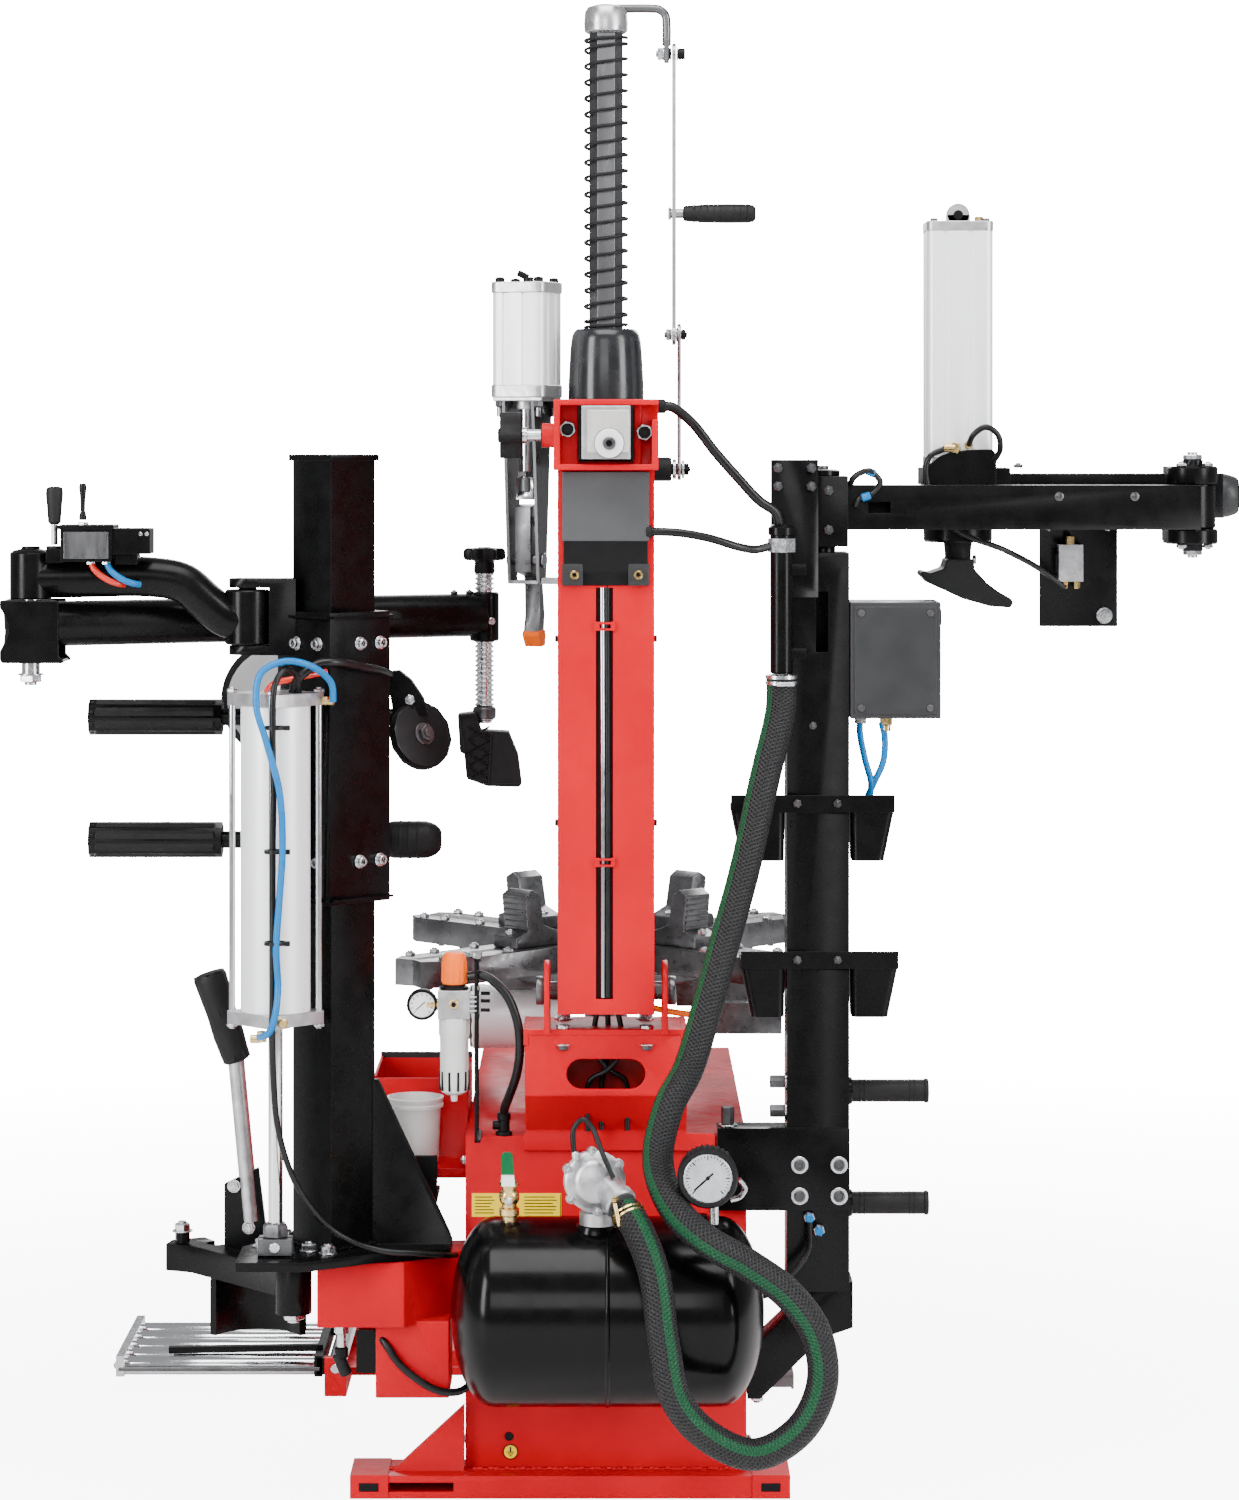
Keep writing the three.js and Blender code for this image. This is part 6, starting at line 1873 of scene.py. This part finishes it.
def outer_arm_bolts():
    """Bolts of the elbow and of the press cylinder's flange."""
    x, y = PRESS_AT.x, PRESS_AT.y
    ex, ey = PRESS_ELBOW.x, PRESS_ELBOW.y
    bits = Shape()
    for z, way in ((1360, Z), (1239, -Z)):
        bits.bolt((ex, ey, z), way, 26, STEEL, 7)
    for z, way in ((1351, Z), (1247, -Z)):
        for side in (-18, 18):
            bits.bolt((ex + side, ey - 20, z), way, 14, STEEL, 5)
    for dx in (-36, 36, 84):
        bits.bolt((x + dx - 6, y - 40, 1349), Z, 13, DARK_STEEL, 5)
    for dx in (-34, 34):
        bits.bolt((x + dx, y - 30, 1281), -Z, 15, STEEL, 8)
    bits.bolt((ex - 8, y - 30, 1312), -Y, 18, DARK_STEEL, 6)
    bits.bolt((ex + 24, y - 30, 1296), -Y, 15, DARK_STEEL, 6)
    bits.piece("outer_arm_bolts", "press_arm_outer", "steel")


def outer_arm_collars():
    """Round collars of the press cylinder and the elbow, and the arm's end plug."""
    x, y = PRESS_AT.x, PRESS_AT.y
    ex, ey = PRESS_ELBOW.x, PRESS_ELBOW.y
    collar = Shape()
    collar.turned([(44, 1249), (46.5, 1251), (46.5, 1279), (44, 1281)], BLACK, (x, y, 0), Z, 72)
    collar.turned([(33, 1328.5), (33.6, 1330), (33.6, 1349), (31, 1351.4)], BLACK, (ex, ey, 0), Z, 64)
    collar.turned([(31, 1247), (33.6, 1249), (33.6, 1265), (32, 1267)], BLACK, (ex, ey, 0), Z, 64)
    collar.turned([(30, 0), (30.6, 2), (29, 12), (26, 21), (24, 23), (0, 23)], GREY, (833, y, 1311), X, 56)
    collar.piece("outer_arm_collars", "press_arm_outer", "black_paint")


def press_guard():
    """Two plates beside the foot of the press cylinder."""
    x, y = PRESS_AT.x, PRESS_AT.y
    guard = Shape()
    outline = [(x - 50, 1326), (x - 50, 1340), (x - 44, 1352), (x - 30, 1364), (x - 14, 1371),
               (x + 20, 1374), (x + 42, 1374), (x + 48, 1368), (x + 48, 1326)]
    for low, high in ((y - 50, y - 45.5), (y + 45.5, y + 50)):
        guard.prism(outline, (low, high), BLACK, "y")
    guard.piece("press_guard", "press_arm_outer", "black_paint", bevel=1.5)


def press_valve():
    """The press cylinder's valve and its bracket's screws."""
    y = PRESS_AT.y
    valve = Shape()
    valve.box((616, 649), (y + 4, y + 25), (1194, 1244), CAST_ALUMINIUM)
    valve.box((612, 653), (y + 8, y + 25), (1206, 1232), DARK)
    valve.rod((632, y + 14, 1243), (632, y + 14, 1256), 6, BRASS, sides=6, edge=1)
    valve.rod((624, y + 14, 1195), (624, y + 14, 1184), 5, BRASS, sides=6, edge=1)
    valve.rod((641, y + 14, 1195), (641, y + 14, 1184), 5, BRASS, sides=6, edge=1)
    valve.bolt((680, y + 24, 1147), -Y, 18, STEEL, 6, washer=22)
    for bx, bz in ((604, 1268), (684, 1268)):
        valve.bolt((bx, y + 24, bz), -Y, 12, STEEL, 5)
    valve.piece("press_valve", "press_arm_outer", "aluminium", bevel=0.8)


def press_lines():
    """The two air lines of the press cylinder."""
    x, y = PRESS_AT.x, PRESS_AT.y
    add_cord("press_line_low", [(x - 20, y - 54, 1376), (x - 44, y - 56, 1362), (x - 44, y - 56, 1320),
                                (x - 10, y - 58, 1268), (x + 60, y - 44, 1238), (x + 110, y - 8, 1212),
                                (624, y + 10, 1186)], 4, SLEEVE, "press_arm_outer")
    add_cord("press_line_high", [(x + 10, y - 52, 1380), (x + 16, y - 62, 1394), (x + 32, y - 66, 1404),
                                 (x + 48, y - 64, 1394), (x + 52, y - 58, 1374), (x + 44, y - 48, 1358)], 4,
             SLEEVE, "press_arm_outer")


def press_foot():
    x, y = PRESS_AT.x, PRESS_AT.y
    foot = Shape()
    foot.turned([(12.4, 1246), (12.4, 1352)], CHROME, (x, y, 0), Z, 48)
    foot.turned([(17, 1205), (18, 1236), (19.5, 1247), (18, 1252), (13, 1253)], RUBBER, (x, y, 0), Z, 48)
    outline = [(-54, 1205), (-51, 1210), (-40, 1207), (-22, 1213), (-18, 1226), (18, 1226), (20, 1212),
               (36, 1194), (52, 1182), (70, 1172), (72, 1166), (68, 1160), (40, 1162), (4, 1172),
               (-20, 1183), (-42, 1193)]
    foot.prism([(x + a, b) for a, b in outline], (y - 38.5, y + 38.5), RUBBER, "y")
    foot.piece("press_shoe", "press_foot", "rubber", ["press_foot"], bevel=4, segments=3)
    bolts = Shape()
    bolts.rod((x + 20, y, 1224), (x + 25, y, 1224), 6.5, STEEL, sides=6, edge=0.8)
    for dy in (-22, 22):
        bolts.bolt((x + 4, y + dy, 1216), Z, 12, DARK_STEEL, 4)
    bolts.piece("press_foot_bolts", "press_foot", "steel")


# ---- CAD nodes that keep their own shape ----
DRESSED = {
    RED: {"base_frame": 1.5, "cabinet": 1.5, "saddle_bracket": 2, "outrigger_beam": 2, "tool_tray": 0.8,
          "tower_column": 3},
    BLACK: {"assist_post": 3, "carriage": 2, "press_column": 2.5, "press_arm_inner": 3,
            "press_arm_outer": 2.5,
            "disc_arm": 1.5, "roller_arm": 1.5, "bead_breaker": 1.5, "slide_arm": 2},
    CAST: {"mount_head": 3},
    BRIGHT_BAR: {"lower_link": 0.8},
    DARK_CAST: {"tool_lever": 2, "tilt_pin": 1.5, "turntable": 2, "jaw_1": 1.5, "jaw_2": 1.5, "jaw_3": 1.5,
                "jaw_4": 1.5},
    CHROME: {"tool_rod": 1},
    GREY: {"control_cabinet": 3, "drive_unit": 2},
    RUBBER: {"lock_knob": 3},
    PEDAL_GREY: {"front_pedal_1": 2, "front_pedal_2": 2, "side_pedal": 2},
}


def dress_nodes():
    for material, nodes in DRESSED.items():
        for node, bevel in nodes.items():
            dress(node, material, bevel)


BUILDERS = [
    dress_nodes,
    head_block, tower_tubes, rear_cover, lock_pin,
    arm_details, shaft_spring, hex_shaft, handle_links,
    tool_barrel, tool_end_plates, tool_fixings, tool_side_plates, tool_details,
    base_details, blank_label, saddle_details, tray_details, outrigger_details, front_and_sides,
    air_tank, gauge_stem, gauge_boot, gauge_dial, ball_valve, blast_valve,
    filter_body, filter_bowl, filter_gauge, filter_bracket, filter_hose_tee, regulator_knob,
    post_details, lift_barrel, lift_piston_rod,
    assist_arm_inner, assist_control_box, assist_box_fittings, assist_lines, assist_arm_outer,
    control_levers, presser_thread, presser_knob, presser_shoe,
    disc_arms, swing_pin_heads, bead_disc, bead_roller, cone_disc, bead_breaker, wheel_lift,
    turntable_details, bin_racks, hanger_pegs, column_bolts, riser_pipe, column_air_line, control_cabinet,
    inner_arm_details, press_cylinder, outer_arm_bolts, outer_arm_collars, press_guard, press_valve,
    press_lines, press_foot,
]


def main():
    add_camera()
    add_stage()
    add_cords()
    for build in BUILDERS:
        build()


main()
